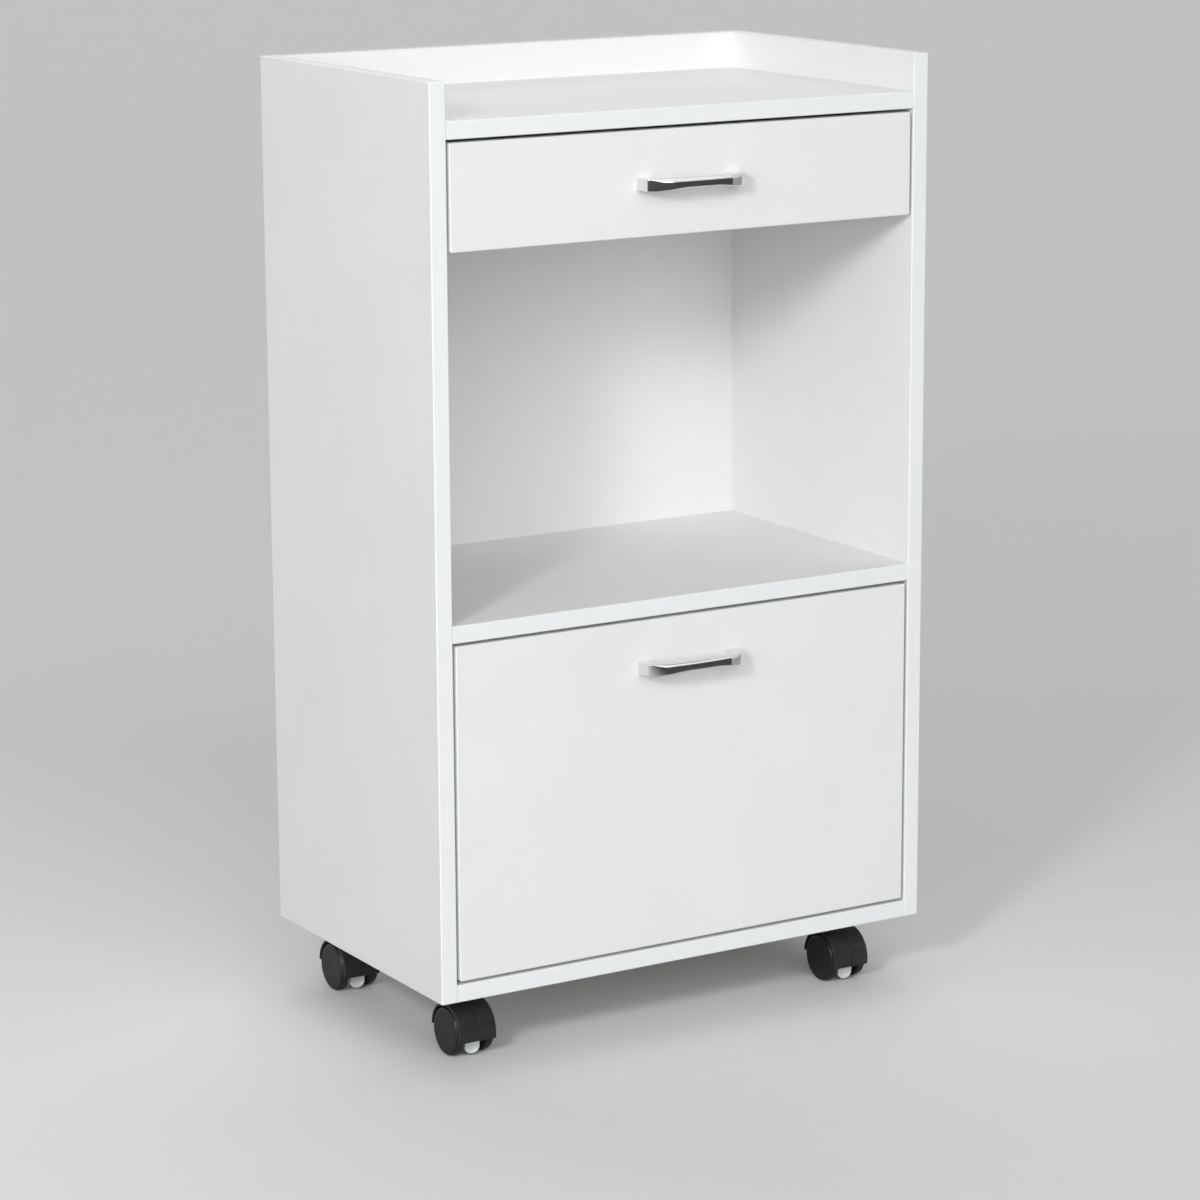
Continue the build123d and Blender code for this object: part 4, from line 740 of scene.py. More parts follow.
def beech_material(settings):
    """Turned beech: a soft grain along the dowels, with short dark flecks."""
    material, graph, inputs, where = new_material("beech_dowel")
    stretched = graph.vector("MULTIPLY", where["Object"], (120.0, 900.0, 900.0))
    grain = graph.noise(stretched, 1.0, 4.0, 0.6)
    flecks = graph.ramp(graph.noise(where["Object"], 1400.0), 0.6, 0.72, 0.0, 0.5)
    wood = graph.mix(grain, rgba(settings.wood_colour, 0.8), rgba(settings.wood_colour, 1.12))
    graph.put(inputs["Base Color"], graph.mix(flecks, wood, rgba(settings.wood_colour, 0.5)))
    graph.put(inputs["Roughness"], graph.ramp(grain, 0.2, 0.8, 0.55, 0.7))
    bump(graph, inputs, grain, 0.05 * MILLIMETRE)
    return material


def chrome_material(settings):
    """Polished chrome plating: nearly a mirror, with a faint orange peel and polishing lines."""
    material, graph, inputs, where = new_material("polished_chrome", {"Metallic": 1.0})
    grain = placed(graph, "Fine Grain", vector=where["Object"], size=0.004, roughness=0.1,
                   spread=0.06, patch=0.02)
    lines = placed(graph, "Hairlines", vector=where["Object"], stretch=(0.06, 1.0, 1.0),
                   scale=700.0, amount=0.4)
    graph.put(inputs["Base Color"], graph.mix(grain["Tone"], rgba(settings.colour, 0.96),
                                              rgba(settings.colour, 1.03)))
    graph.put(inputs["Roughness"], graph.maths("ADD", grain["Roughness"],
                                               graph.maths("MULTIPLY", lines["Mask"], 0.15)))
    bump(graph, inputs, graph.maths("SUBTRACT", grain["Height"], lines["Mask"]),
         0.004 * MILLIMETRE)
    return material


def zinc_material(settings):
    """Bright zinc plating: a cool mottled metal with a slightly yellow cast in patches."""
    material, graph, inputs, where = new_material("zinc_steel", {"Metallic": 1.0})
    grain = placed(graph, "Fine Grain", vector=where["Object"], size=0.0006, roughness=0.36,
                   spread=0.16, patch=0.012)
    lines = placed(graph, "Hairlines", vector=where["Object"], stretch=(1.0, 0.3, 0.3),
                   scale=500.0, amount=0.7)
    warm = [part * tint for part, tint in zip(settings.zinc_colour, (1.02, 0.99, 0.9))]
    tinted = graph.mix(graph.ramp(grain["Tone"], 0.35, 0.7), rgba(settings.zinc_colour), rgba(warm))
    graph.put(inputs["Base Color"], graph.mix(lines["Mask"], tinted,
                                              rgba(settings.zinc_colour, 1.3)))
    graph.put(inputs["Roughness"], grain["Roughness"])
    bump(graph, inputs, grain["Height"], 0.012 * MILLIMETRE)
    return material


def coated_material(settings):
    """White epoxy coating: orange peel, and grey rubbed lines along the drawer's travel."""
    material, graph, inputs, where = new_material("coated_steel")
    grain = placed(graph, "Fine Grain", vector=where["Object"], size=0.0016, roughness=0.34,
                   spread=0.08, patch=0.03)
    lines = placed(graph, "Hairlines", vector=where["Object"], stretch=(1.0, 0.03, 1.0),
                   scale=420.0, amount=0.5)
    graph.put(inputs["Base Color"], graph.mix(lines["Mask"], rgba(settings.coating_colour),
                                              rgba(settings.coating_colour, 0.4)))
    graph.put(inputs["Roughness"], grain["Roughness"])
    bump(graph, inputs, grain["Height"], 0.05 * MILLIMETRE)
    return material


def plastic_material(name, colour, roughness, grain_size, constants=None, dust=0.0, relief=0.012):
    """Moulded plastic: a fine grain, a faint change of tone, and a trace of dust on top."""
    material, graph, inputs, where = new_material(name, constants)
    grain = placed(graph, "Fine Grain", vector=where["Object"], size=grain_size,
                   roughness=roughness, spread=0.08, patch=0.012)
    toned = graph.mix(grain["Tone"], rgba(colour, 0.94), rgba(colour, 1.06))
    settled = placed(graph, "Settled Dust", vector=where["Object"], normal=where["Normal"],
                     amount=dust)
    graph.put(inputs["Base Color"], graph.mix(settled["Mask"], toned, DUST_COLOUR))
    graph.put(inputs["Roughness"], grain["Roughness"])
    bump(graph, inputs, grain["Height"], relief * MILLIMETRE)
    return material


def wheel_material(settings):
    """Hard black wheel plastic: smooth discs, and a scuffed tread where its attribute is 1."""
    material, graph, inputs, where = new_material("black_nylon")
    grain = placed(graph, "Fine Grain", vector=where["Object"], size=0.0006, roughness=0.36,
                   spread=0.08, patch=0.02)
    tread = graph.add("ShaderNodeAttribute", attribute_name="tread").outputs["Fac"]
    scuffs = graph.ramp(graph.noise(where["Object"], 900.0, 4.0, 0.7), 0.45, 0.65, 0.0, 0.12)
    toned = graph.mix(grain["Tone"], rgba(settings.wheel_colour, 0.9),
                      rgba(settings.wheel_colour, 1.1))
    graph.put(inputs["Base Color"], graph.mix(graph.maths("MULTIPLY", tread, scuffs), toned,
                                              SCUFF_COLOUR))
    graph.put(inputs["Roughness"], graph.maths("ADD", grain["Roughness"],
                                               graph.maths("MULTIPLY", tread, 0.14)))
    bump(graph, inputs, grain["Height"], 0.012 * MILLIMETRE)
    return material


def finish(node, material):
    """Gives a node of the frame its material."""
    mesh = frame["nodes"][node].data
    mesh.materials.clear()
    mesh.materials.append(material)


# Boards

# How near two points are when they are welded, and how near a face a point is when it is on it
WELD, ON_FACE = 0.001 * MILLIMETRE, 0.002 * MILLIMETRE
# Angles in degrees: neighbouring faces below the first are flat, and edges above the second sharp
FLAT_ANGLE, BOARD_SHARP = 0.5, 40
EDGE_SEGMENTS = 3


def edged_board(node, free, radius):
    """A copy of a board, welded, with flat faces joined. An edge of its box between a free wide
    face and a free narrow one is rounded. The others stay square: the short edges between two
    strips of edging, and those where the board butts on a neighbour."""
    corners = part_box(node)
    planes = [("xyz".index(face[1]), corners["-+".index(face[0])]["xyz".index(face[1])])
              for face in free.split()]
    work = bmesh.new()
    work.from_mesh(frame["nodes"][node].data)
    bmesh.ops.remove_doubles(work, verts=work.verts, dist=WELD)
    bmesh.ops.dissolve_limit(work, angle_limit=math.radians(FLAT_ANGLE), verts=work.verts,
                             edges=work.edges)
    size = corners[1] - corners[0]
    thin = min(range(3), key=lambda axis: size[axis])
    chosen = []
    for edge in work.edges:
        on = [axis for axis, place in planes
              if all(abs(vert.co[axis] - place) < ON_FACE for vert in edge.verts)]
        if len(on) == 2 and thin in on:
            chosen.append(edge)
    bmesh.ops.bevel(work, geom=chosen, offset=radius, segments=EDGE_SEGMENTS, profile=0.5,
                    affect="EDGES")
    mesh = bpy.data.meshes.new(f"{node}_edged")
    work.to_mesh(mesh)
    work.free()
    mesh.shade_smooth()
    mesh.set_sharp_from_angle(angle=math.radians(BOARD_SHARP))
    return mesh


class TROLLEY_OT_make_boards(Operator):
    """Build the boards with their rounded edging and satin finish"""

    bl_idname = "trolley.make_boards"
    bl_label = "Make Boards"

    def execute(self, context):
        settings = context.scene.trolley.boards
        for node, (body, free) in BOARDS.items():
            mesh = edged_board(node, free, settings.edge_round)
            board = new_piece(f"{node}_edged", mesh, board_material(node, settings), body,
                              "white_board", node)
            board.modifiers.new("flat_faces", "WEIGHTED_NORMAL").keep_sharp = True
        finish("drawer_bottom", hardboard_material(context.scene.trolley.fittings, settings.colour))
        return {"FINISHED"}


# Handles

# Points along the bow, along the curve to the shoulder and along the side of a handle's outline
# from above, and round each corner of its section
BOW_POINTS, CURVE_POINTS, SIDE_POINTS, CORNER_POINTS = 15, 25, 15, 10


def half_outline(foot, shoulder, bow_end, middle_depth, crease):
    """Half of a handle's outline from above, as (x, depth): the flat arc of the bow, a tighter arc
    to the shoulder that sets off turned back by the crease, and the straight side of the foot."""
    bow, heading = arc_to((0, middle_depth), (1, 0), bow_end, BOW_POINTS)
    across = np.array([heading[1], -heading[0]])
    curve, heading = arc_to(bow_end, heading * math.cos(crease) + across * math.sin(crease),
                            shoulder, CURVE_POINTS)
    side = np.linspace(shoulder, foot, SIDE_POINTS)
    return np.vstack([bow, curve[1:], side[1:]])


def mirrored(half):
    """A whole outline from its right half, from its left end to its right one."""
    return np.vstack([half[::-1] * [-1, 1], half[1:]])


def handle_shell(settings, low, high):
    """A bow handle as rounded sections from one foot to the other. Each spans the outer and the
    inner outline. The top is level, and the underside rises by a cubic step to the slim waist. The
    two front corners are quarter ellipses that grow from the feet to the bar by another one."""
    centre = (low + high) / 2
    top, bottom = (high.z - low.z) / 2, (low.z - high.z) / 2
    half = (high.x - low.x) / 2
    reach = high.y - low.y
    bow = settings.bow_length / 2
    inner_half = half - settings.foot_width
    inner_reach = reach - settings.bar_depth
    elbow = (inner_half - settings.side_lean, settings.side_depth - settings.side_lean)
    outer = half_outline((half, 0), (half - settings.side_lean, settings.side_depth),
                         (bow, reach - settings.bow_rise), reach, settings.crease)
    inner = half_outline((inner_half, 0), elbow, (bow, inner_reach - settings.bow_rise),
                         inner_reach, settings.crease)
    outer, inner = (eased(mirrored(line), settings.corner_soft) for line in (outer, inner))
    middle, arm = (outer + inner) / 2, (outer - inner) / 2
    length = np.linalg.norm(arm, axis=1)[:, None]
    turn = np.concatenate([np.linspace(0, math.pi / 2, CORNER_POINTS) + quarter * math.pi / 2
                           for quarter in range(4)])
    side = np.repeat([1, -1, -1, 1], CORNER_POINTS)
    level = np.repeat([1, 1, -1, -1], CORNER_POINTS)
    inward = half - settings.foot_width + settings.bar_depth / 2
    swell = 1 - smooth_step(np.abs(middle[:, :1]), settings.top_start, inward)
    swell = swell * (side > 0)
    back = np.where(level > 0, settings.top_round, settings.bottom_round)
    up = np.where(level > 0, settings.top_drop, settings.bottom_round)
    radius_across = settings.edge_round + (back - settings.edge_round) * swell
    radius_up = settings.edge_round + (up - settings.edge_round) * swell
    across = side * (length - radius_across) + radius_across * np.cos(turn)
    x = middle[:, :1] + arm[:, :1] / length * across
    depth = middle[:, 1:] + arm[:, 1:] / length * across
    growth = smooth_step(np.abs(x), settings.waist_length / 2, settings.waist_end / 2)
    underside = bottom + (top - bottom - settings.waist_height) * (1 - growth)
    z = np.where(level > 0, top - radius_up, underside + radius_up) + radius_up * np.sin(turn)
    return tube(np.stack([centre.x + x, high.y - depth, centre.z + z], -1))


class TROLLEY_OT_make_handles(Operator):
    """Build the two chromed bow handles"""

    bl_idname = "trolley.make_handles"
    bl_label = "Make Handles"

    def execute(self, context):
        settings = context.scene.trolley.handles
        chrome = chrome_material(settings)
        for node, body in HANDLES.items():
            mesh = joined_mesh(f"{node}_bow", [handle_shell(settings, *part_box(node))])
            new_piece(f"{node}_bow", mesh, chrome, body, "polished_chrome", node)
        return {"FINISHED"}


# Castors


class CastorPlaces:
    """Places of one castor, read from the frame."""

    def __init__(self, castor):
        low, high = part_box(f"castor_wheel_right_{castor}")
        hood_low, hood_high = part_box(f"castor_hood_{castor}")
        pedal_low, pedal_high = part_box(f"castor_pedal_{castor}")
        self.axle = np.array([(hood_low.x + hood_high.x) / 2, (low.y + high.y) / 2,
                              (low.z + high.z) / 2])
        self.wheel_radius = (high.z - low.z) / 2
        self.wheel_outer = high.x - self.axle[0]
        self.hood_radius = self.axle[1] - hood_low.y
        self.hood_half = (hood_high.x - hood_low.x) / 2
        self.hood_top = hood_high.z - self.axle[2]
        self.pedal_bottom = pedal_low.z
        self.bar_reach = (pedal_high.x - pedal_low.x) / 2
        self.pivot = self.axle + PEDAL_PIVOT
        self.bar = self.axle + BRAKE_BAR


# Places of the pedal's pivot and of its brake bar from the axle, and the sizes of the hood's ears
PEDAL_PIVOT = np.array([0, -0.012, 0.0095])
BRAKE_BAR = np.array([0, -0.0126, -0.0065])
EAR_RADIUS, EAR_THICKNESS, EAR_PLAY = 0.0042, 0.002, 0.0004
PIN_RADIUS = 0.0013
WEB_FRONT, WEB_DROP = 0.007, 0.008
NECK_FLARE = 0.0016
SOFT_EDGE = 0.0005


def barrel_shell(settings, places):
    """The hood's barrel: a section with rounded ends and a seam in its middle, carried round the
    axle from the back edge over the top to the front edge. Near both edges the section shrinks by
    1 less the sine of a quarter turn."""
    radius, wall = places.hood_radius, settings.hood_wall
    seam, crisp = settings.seam / 2, 0.08 * MILLIMETRE
    rounds = np.array([settings.hood_round, crisp, crisp, crisp, crisp, settings.hood_round,
                       SOFT_EDGE, SOFT_EDGE])

    def section(inset):
        """The closed (x, radius) outline, drawn in by an inset."""
        top, bottom, end = radius - inset, radius - wall + inset, places.hood_half - inset
        groove = top - settings.seam_depth
        corners = [(-end, top), (-seam, top), (-seam, groove), (seam, groove), (seam, top),
                   (end, top), (end, bottom), (-end, bottom)]
        return rounded(corners, np.maximum(rounds - inset, crisp), steps=6)

    edge_rings, sweep_rings = 4, 91
    quarter = np.linspace(0, math.pi / 2, edge_rings, endpoint=False)
    start, end = settings.back_rise, math.pi + settings.front_droop
    step = SOFT_EDGE / radius
    lead = step * (1 - np.cos(quarter))
    shrink = SOFT_EDGE * (1 - np.sin(quarter))
    sweep = np.linspace(start + step, end - step, sweep_rings)
    angles = np.concatenate([start + lead, sweep, (end - lead)[::-1]])
    insets = np.concatenate([shrink, np.zeros(len(sweep)), shrink[::-1]])
    lines = np.stack([section(inset) for inset in insets])
    rings = np.stack([lines[..., 0], lines[..., 1] * np.cos(angles)[:, None],
                      lines[..., 1] * np.sin(angles)[:, None]], -1)
    return tube(rings + places.axle)


def web_shell(settings, places):
    """The web between the wheels: the barrel's inner circle, cut off in front and below."""
    inner = places.hood_radius - settings.hood_wall / 2
    ring = arc_about(places.axle[1:], inner, -math.asin(WEB_DROP / inner),
                     math.acos(-WEB_FRONT / inner), count=48)
    outline = np.vstack([ring, [places.axle[1:] - [WEB_FRONT, WEB_DROP]]])
    middle, half = places.axle[0], settings.web / 2
    return prism(outline, middle - half, middle + half, SOFT_EDGE)


def neck_shell(settings, places):
    """The neck round the king pin, with a hollow flare of a quarter circle where it meets the
    barrel and a beveled top."""
    neck, top, shoulder = settings.neck_radius, places.hood_top, places.hood_radius - SOFT_EDGE
    low = places.hood_radius - 2 * settings.hood_wall
    turn = np.linspace(0, math.pi / 2, 7)
    flare = np.column_stack([shoulder + NECK_FLARE * (1 - np.cos(turn)),
                             neck + NECK_FLARE * (1 - np.sin(turn))])
    profile = np.vstack([[(low, 0), (low, neck + NECK_FLARE)], flare,
                         [(top - SOFT_EDGE, neck), (top, neck - SOFT_EDGE), (top, 0)]])
    return turned(profile, places.axle + [0, settings.trail, 0], steps=56, axis=2)


def ear_shells(settings, places):
    """The two ears that hold the pedal's pin, with a round lower end and straight sides that run up
    into the barrel, and the pin."""
    inner = places.hood_radius - settings.hood_wall / 2
    lower = arc_about(places.pivot[1:], EAR_RADIUS, math.pi, 2 * math.pi, count=17)
    sides = places.pivot[1] - places.axle[1] + EAR_RADIUS * np.array([1, -1])
    upper = places.axle[1:] + np.column_stack([sides, np.sqrt(inner ** 2 - sides ** 2)])
    outline = np.vstack([lower, upper])
    start = settings.pedal_width / 2 + EAR_PLAY
    end = start + EAR_THICKNESS
    ears = [prism(outline, places.axle[0] + min(start * sign, end * sign),
                  places.axle[0] + max(start * sign, end * sign), SOFT_EDGE)
            for name, sign in SIDES]
    return [*ears, bar(PIN_RADIUS, end + SOFT_EDGE, places.pivot, SOFT_EDGE / 2)]


class TROLLEY_OT_make_castor_hoods(Operator):
    """Build the hood of each castor, with its web, neck, ears and pedal pin"""

    bl_idname = "trolley.make_castor_hoods"
    bl_label = "Make Castor Hoods"

    def execute(self, context):
        settings = context.scene.trolley.castors
        plastic = plastic_material("black_plastic", settings.plastic_colour, 0.37, 0.0004,
                                   dust=0.03, relief=0.02)
        for castor in CASTORS:
            node = f"castor_hood_{castor}"
            places = CastorPlaces(castor)
            shells = [barrel_shell(settings, places), web_shell(settings, places),
                      neck_shell(settings, places), *ear_shells(settings, places)]
            new_piece(f"{node}_moulded", joined_mesh(f"{node}_moulded", shells), plastic,
                      f"castor_{castor}", "black_plastic", node)
        return {"FINISHED"}


def wheel_shell(settings, places, sign):
    """One wheel, turned about the axle. Its face is flat in the middle and rises to the rim by a
    cubic step, so it is a very shallow dish, and then a quarter round leads to the tread."""
    outer, radius, edge = places.wheel_outer, places.wheel_radius, settings.wheel_edge
    disc_rings, edge_rings, flat_share = 26, 8, 0.1
    across = np.linspace(0, radius - edge, disc_rings)
    rise = smooth_step(across, flat_share * radius, radius - edge)
    disc = np.column_stack([outer - settings.dish * (1 - rise), across])
    turn = np.linspace(0, math.pi / 2, edge_rings + 1)[1:]
    corner = np.column_stack([outer - edge * (1 - np.cos(turn)),
                              radius - edge * (1 - np.sin(turn))])
    inner = outer - settings.wheel_width
    wall = outer - settings.wall
    hub = settings.web / 2 + EAR_PLAY
    inside = [(inner + SOFT_EDGE, radius), (inner, radius - SOFT_EDGE),
              (inner, radius - settings.rim), (wall, radius - settings.rim),
              (wall, settings.hub_radius), (hub, settings.hub_radius),
              (hub, settings.bore_radius), (wall, settings.bore_radius), (wall, 0)]
    return turned(np.vstack([disc, corner, inside]) * [sign, 1], places.axle, steps=96)


class TROLLEY_OT_make_castor_wheels(Operator):
    """Build the two wheels of each castor"""

    bl_idname = "trolley.make_castor_wheels"
    bl_label = "Make Castor Wheels"

    def execute(self, context):
        settings = context.scene.trolley.castors
        plastic = wheel_material(settings)
        for castor in CASTORS:
            places = CastorPlaces(castor)
            for side, sign in SIDES:
                node = f"castor_wheel_{side}_{castor}"
                mesh = joined_mesh(f"{node}_moulded", [wheel_shell(settings, places, sign)],
                                   sharp=30)
                self.mark_tread(mesh, places)
                new_piece(f"{node}_moulded", mesh, plastic, node, "black_nylon", node)
        return {"FINISHED"}

    def mark_tread(self, mesh, places):
        """Writes an attribute that is 1 on the tread and 0 elsewhere."""
        points = np.empty(len(mesh.vertices) * 3, np.float32)
        mesh.vertices.foreach_get("co", points)
        away = points.reshape(-1, 3) - places.axle
        tread = np.hypot(away[:, 1], away[:, 2]) > places.wheel_radius - 0.1 * MILLIMETRE
        attribute = mesh.attributes.new("tread", "FLOAT", "POINT")
        attribute.data.foreach_set("value", tread.astype(np.float32))


def tongue_shell(settings, places):
    """The pedal's tongue: its rounded outline stands at the back, draws in by a quarter round at
    the front edge, and then over the rim into a shallow recess."""
    top, bottom, back = places.pivot[2], places.pedal_bottom, places.pivot[1]
    front, edge = back - settings.pedal_thickness, 2 * SOFT_EDGE
    edge_rings, slope_rings, slope = 7, 6, 1.5
    turn = np.linspace(0, math.pi / 2, edge_rings)
    share = np.linspace(0, 1, slope_rings)
    insets = np.concatenate([[SOFT_EDGE, 0], edge * (1 - np.cos(turn)),
                             settings.pedal_rim + share * settings.pedal_recess * slope])
    depths = np.concatenate([[back, back - SOFT_EDGE], front + edge * (1 - np.sin(turn)),
                             front + settings.pedal_recess * smooth_step(share, 0, 1)])
    rings = []
    for inset, y in zip(insets, depths):
        half_x, half_z = settings.pedal_width / 2 - inset, (top - bottom) / 2 - inset
        box = [(-half_x, -half_z), (half_x, -half_z), (half_x, half_z), (-half_x, half_z)]
        line = rounded(box, settings.pedal_corner - inset, steps=14)
        rings.append(np.column_stack([places.axle[0] + line[:, 0], np.full(len(line), y),
                                      (top + bottom) / 2 + line[:, 1]]))
    return tube(np.stack(rings))


class TROLLEY_OT_make_brake_pedals(Operator):
    """Build the milky brake pedal of each castor"""

    bl_idname = "trolley.make_brake_pedals"
    bl_label = "Make Brake Pedals"

    def execute(self, context):
        settings = context.scene.trolley.castors
        hub_radius, bar_radius = 0.0034, 0.0016
        plastic = plastic_material("pedal_plastic", settings.pedal_colour, 0.3, 0.0008,
                                   {"Subsurface Weight": 0.3, "Subsurface Scale": 0.001,
                                    "Subsurface Radius": (1.0, 1.0, 1.0)})
        for castor in CASTORS:
            node = f"castor_pedal_{castor}"
            places = CastorPlaces(castor)
            shells = [tongue_shell(settings, places),
                      bar(hub_radius, settings.pedal_width / 2, places.pivot, SOFT_EDGE),
                      bar(bar_radius, places.bar_reach, places.bar, SOFT_EDGE)]
            new_piece(f"{node}_moulded", joined_mesh(f"{node}_moulded", shells), plastic, node,
                      "pedal_plastic", node)
        return {"FINISHED"}


# Fittings


class TROLLEY_OT_finish_fittings(Operator):
    """Give the runners, rollers, stays, screws and dowels their metal, nylon and wood"""

    bl_idname = "trolley.finish_fittings"
    bl_label = "Finish Fittings"

    def execute(self, context):
        settings = context.scene.trolley.fittings
        finishes = {
            "zinc_steel": zinc_material(settings),
            "coated_steel": coated_material(settings),
            "white_nylon": plastic_material("white_nylon", settings.nylon_colour, 0.44, 0.0005,
                                            {"Subsurface Weight": 0.15, "Subsurface Scale": 0.001,
                                             "Subsurface Radius": (1.0, 1.0, 1.0)},
                                            relief=0.02),
            "beech_dowel": beech_material(settings),
        }
        for part in frame["record"]["subparts"]:
            if part["material_slot"] in finishes:
                finish(part["node"], finishes[part["material_slot"]])
        return {"FINISHED"}


# Stage

# Each lamp's name, the azimuth and elevation it shines from and its angular size, all in degrees
# with azimuth 0 in front of the trolley, its strength, and whether its light is cool
LAMPS = (
    ("side_light", -66, 7, 50, 1.01, False),
    ("front_light", -12, 16, 60, 1.53, True),
    ("top_light", 10, 70, 80, 0.36, True),
    ("back_light", 155, 45, 60, 0.76, False),
)
COOL = (0.965, 1.0, 1.01)
LAMP_DISTANCE = 3.0
FLOOR_REACH = 60.0
# Points up and across the dark card
CARD_GRID = (13, 65)
# The camera's sensor in millimetres
SENSOR_WIDTH = 36.0


class TROLLEY_OT_build_stage(Operator):
    """Set the floor, the dark card, the even light, the lamps and the camera"""

    bl_idname = "trolley.build_stage"
    bl_label = "Build Stage"

    def execute(self, context):
        settings = context.scene.trolley.stage
        self.floor(settings)
        self.dark_card(settings)
        self.world(context.scene, settings)
        for lamp in LAMPS:
            self.lamp(*lamp)
        self.key(settings)
        self.camera(context.scene, settings)
        context.scene.view_settings.view_transform = "Standard"
        return {"FINISHED"}

    def floor(self, settings):
        """A plain pale floor that reaches far past the view. It throws less light back than the
        camera sees."""
        material, graph, inputs, where = new_material("pale_floor", {"Roughness": 0.8,
                                                                     "Specular IOR Level": 0.2})
        tone = graph.noise(where["Object"], 3.0)
        seen = graph.mix(tone, rgba(settings.floor_colour, 0.995),
                         rgba(settings.floor_colour, 1.005))
        path = graph.add("ShaderNodeLightPath").outputs
        graph.put(inputs["Base Color"], graph.mix(path["Is Camera Ray"],
                                                  rgba(settings.floor_bounce), seen))
        low, high = -FLOOR_REACH, FLOOR_REACH
        mesh = bpy.data.meshes.new("floor")
        mesh.from_pydata([(low, low, 0), (high, low, 0), (high, high, 0), (low, high, 0)], [],
                         [(0, 1, 2, 3)])
        mesh.materials.append(material)
        floor = bpy.data.objects.new("floor", mesh)
        bpy.context.scene.collection.objects.link(floor)

    def dark_card(self, settings):
        """A dark upright card bent round the front of the trolley, part of a cylinder. Towards its
        left it fades to the background by a cubic step that slants with its height. It shows in
        gloss alone, so that the chrome has something dark to mirror, and throws no shadow."""
        material, graph, inputs, where = new_material(
            "dark_card", {"Base Color": (0.0, 0.0, 0.0, 1.0), "Emission Strength": 1.0,
                          "Roughness": 1.0})
        dark = graph.add("ShaderNodeAttribute", attribute_name="dark").outputs["Fac"]
        graph.put(inputs["Emission Color"], graph.mix(dark, rgba(settings.background_colour),
                                                      rgba(settings.card_colour)))
        rows, columns = CARD_GRID
        share = np.linspace(0, 1, rows)[:, None]
        azimuth = np.linspace(settings.card_start, settings.card_end, columns)[None, :]
        full = settings.fade_foot + (settings.fade_top - settings.fade_foot) * share
        fade = smooth_step(azimuth, full - settings.fade_width, full)
        reach, level = settings.card_distance, settings.card_height * share
        points = np.stack(np.broadcast_arrays(reach * np.sin(azimuth), -reach * np.cos(azimuth),
                                              level), -1)
        row, column = np.arange(rows - 1)[:, None], np.arange(columns - 1)[None, :]
        first = row * columns + column
        faces = np.stack([first, first + 1, first + 1 + columns, first + columns], -1)
        mesh = bpy.data.meshes.new("dark_card")
        mesh.from_pydata(points.reshape(-1, 3).tolist(), [], faces.reshape(-1, 4).tolist())
        attribute = mesh.attributes.new("dark", "FLOAT", "POINT")
        attribute.data.foreach_set("value", fade.astype(np.float32).ravel())
        mesh.materials.append(material)
        card = bpy.data.objects.new("dark_card", mesh)
        bpy.context.scene.collection.objects.link(card)
        card.visible_camera = card.visible_diffuse = card.visible_transmission = False
        card.visible_shadow = False

    def world(self, scene, settings):
        """Even light from all round. Gloss and glass see the background's colour, and the camera
        sees a backdrop in the tone of the lit floor, so that no horizon shows."""
        world = bpy.data.worlds.new("studio")
        world.use_nodes = True
        graph = Graph(world.node_tree)
        light = world.node_tree.nodes["Background"]
        graph.put(light.inputs["Color"], (1.0, 1.0, 1.0, 1.0))
        graph.put(light.inputs["Strength"], settings.sky_light)
        path = graph.add("ShaderNodeLightPath").outputs
        colour = graph.mix(path["Is Camera Ray"], rgba(settings.background_colour),
                           rgba(settings.backdrop_colour))
        seen = graph.add("ShaderNodeBackground", {"Color": colour})
        mirrored_ray = graph.maths("MAXIMUM", path["Is Glossy Ray"], path["Is Transmission Ray"])
        either = graph.maths("MAXIMUM", path["Is Camera Ray"], mirrored_ray)
        mixed = graph.add("ShaderNodeMixShader", {0: either, 1: light.outputs[0],
                                                  2: seen.outputs[0]})
        graph.put(world.node_tree.nodes["World Output"].inputs["Surface"], mixed.outputs[0])
        scene.world = world

    def lamp(self, name, azimuth, elevation, size, strength, cool):
        """A soft far lamp that shines from a direction."""
        data = bpy.data.lights.new(name, "SUN")
        data.energy = strength
        data.angle = math.radians(size)
        if cool:
            data.color = COOL
        self.hang(data, math.radians(azimuth), math.radians(elevation), LAMP_DISTANCE)

    def key(self, settings):
        """The main lamp, a round one near enough for its light to fall off across the trolley. Its
        power is the wanted light times pi and the squared distance."""
        data = bpy.data.lights.new("key_light", "AREA")
        data.shape = "DISK"
        data.size = settings.key_size
        data.energy = settings.key_light * math.pi * settings.key_distance ** 2
        self.hang(data, settings.key_azimuth, settings.key_height, settings.key_distance)

    def hang(self, data, azimuth, height, distance):
        """Hangs a lamp at an azimuth and a height angle, and turns it to the trolley's middle."""
        source = Vector((math.sin(azimuth) * math.cos(height),
                         -math.cos(azimuth) * math.cos(height), math.sin(height)))
        lamp = bpy.data.objects.new(data.name, data)
        lamp.rotation_mode = "QUATERNION"
        lamp.rotation_quaternion = source.to_track_quat("Z", "Y")
        lamp.location = source * distance + Vector((0, 0, cad_high.z / 2))
        bpy.context.scene.collection.objects.link(lamp)

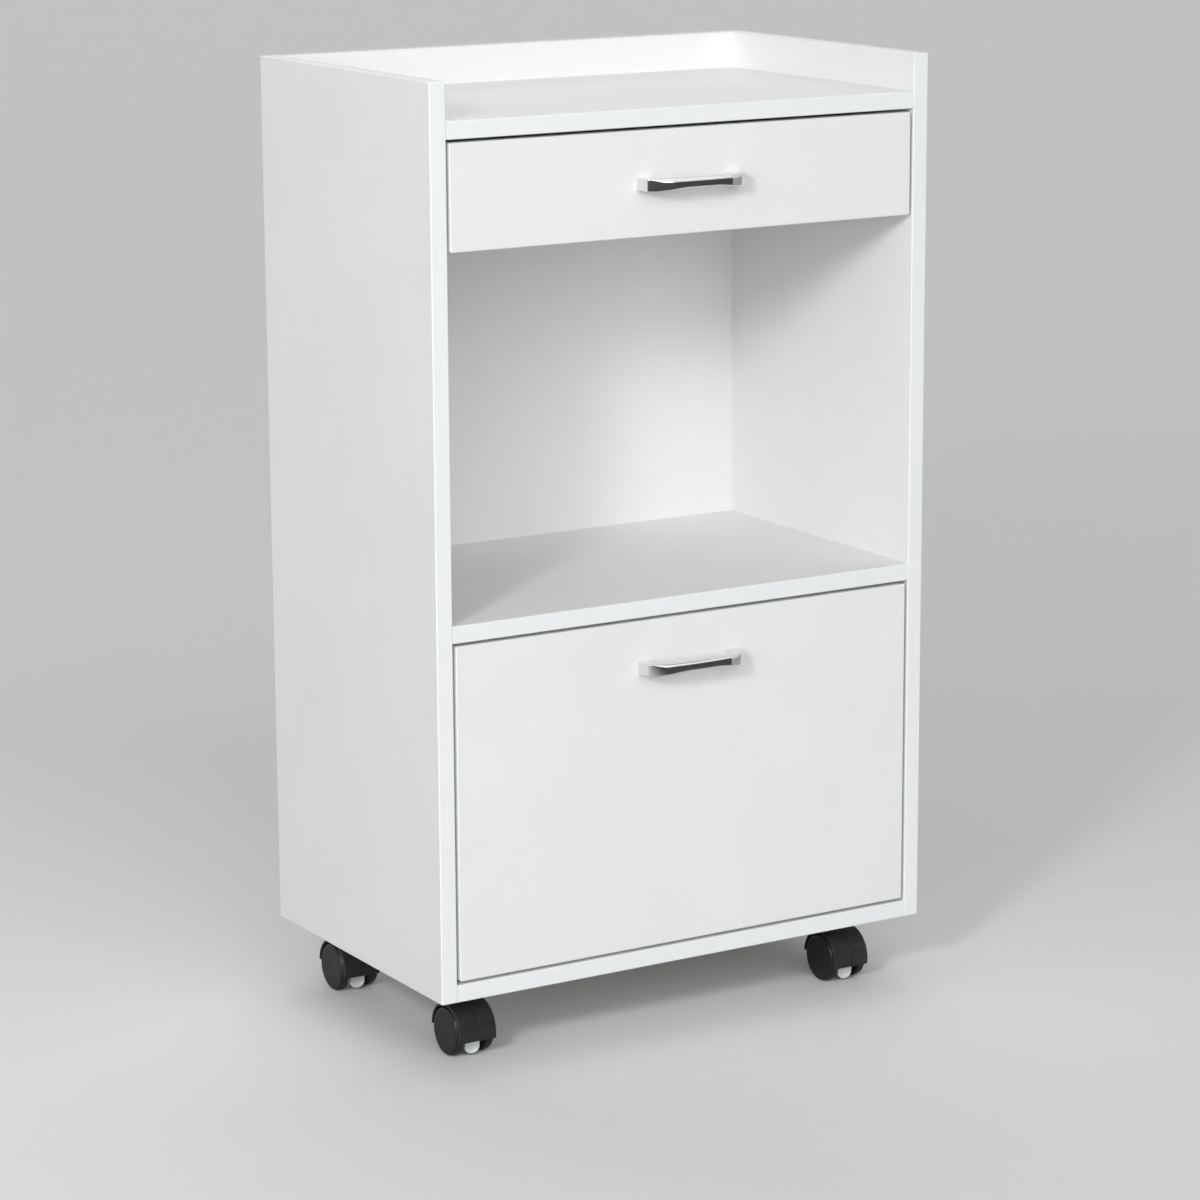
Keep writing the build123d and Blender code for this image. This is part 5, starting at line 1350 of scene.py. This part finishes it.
    def camera(self, scene, settings):
        """The camera at the picture's viewing angle: left of the fronts, looking down a little."""
        data = bpy.data.cameras.new("camera")
        data.sensor_width = SENSOR_WIDTH
        data.lens = settings.lens
        level = Matrix.Rotation(math.pi / 2 - settings.pitch, 3, "X")
        heading = Matrix.Rotation(-settings.yaw, 3, "Z")
        roll = Matrix.Rotation(settings.roll, 3, "Z")
        camera = bpy.data.objects.new("camera", data)
        camera.matrix_world = (Matrix.Translation(settings.camera_place)
                               @ (heading @ level @ roll).to_4x4())
        scene.collection.objects.link(camera)
        scene.camera = camera


# Panel and registration


class TROLLEY_PT_panel(Panel):
    """The trolley's settings and the steps that build it"""

    bl_label = "Salon Trolley"
    bl_idname = "TROLLEY_PT_panel"
    bl_space_type = "VIEW_3D"
    bl_region_type = "UI"
    bl_category = "Trolley"

    def draw(self, context):
        for step in STEPS:
            self.layout.operator(step.bl_idname)
        for group in ("boards", "handles", "castors", "fittings", "stage"):
            values = getattr(context.scene.trolley, group)
            box = self.layout.box()
            box.label(text=group.title())
            for name in values.__annotations__:
                box.prop(values, name)


STEPS = (TROLLEY_OT_make_boards, TROLLEY_OT_make_handles, TROLLEY_OT_make_castor_hoods,
         TROLLEY_OT_make_castor_wheels, TROLLEY_OT_make_brake_pedals, TROLLEY_OT_finish_fittings,
         TROLLEY_OT_build_stage)
CLASSES = (BoardSettings, HandleSettings, CastorSettings, FittingSettings, StageSettings,
           TrolleySettings, *STEPS, TROLLEY_PT_panel)


def register():
    """Adds the classes and the scene's trolley settings."""
    for cls in CLASSES:
        bpy.utils.register_class(cls)
    bpy.types.Scene.trolley = PointerProperty(type=TrolleySettings)


def unregister():
    """Removes the scene's trolley settings and the classes."""
    del bpy.types.Scene.trolley
    for cls in reversed(CLASSES):
        bpy.utils.unregister_class(cls)


def main():
    """Builds the trolley step by step."""
    register()
    for step in STEPS:
        group, name = step.bl_idname.split(".")
        getattr(getattr(bpy.ops, group), name)()


if __name__ == "__main__":
    main()
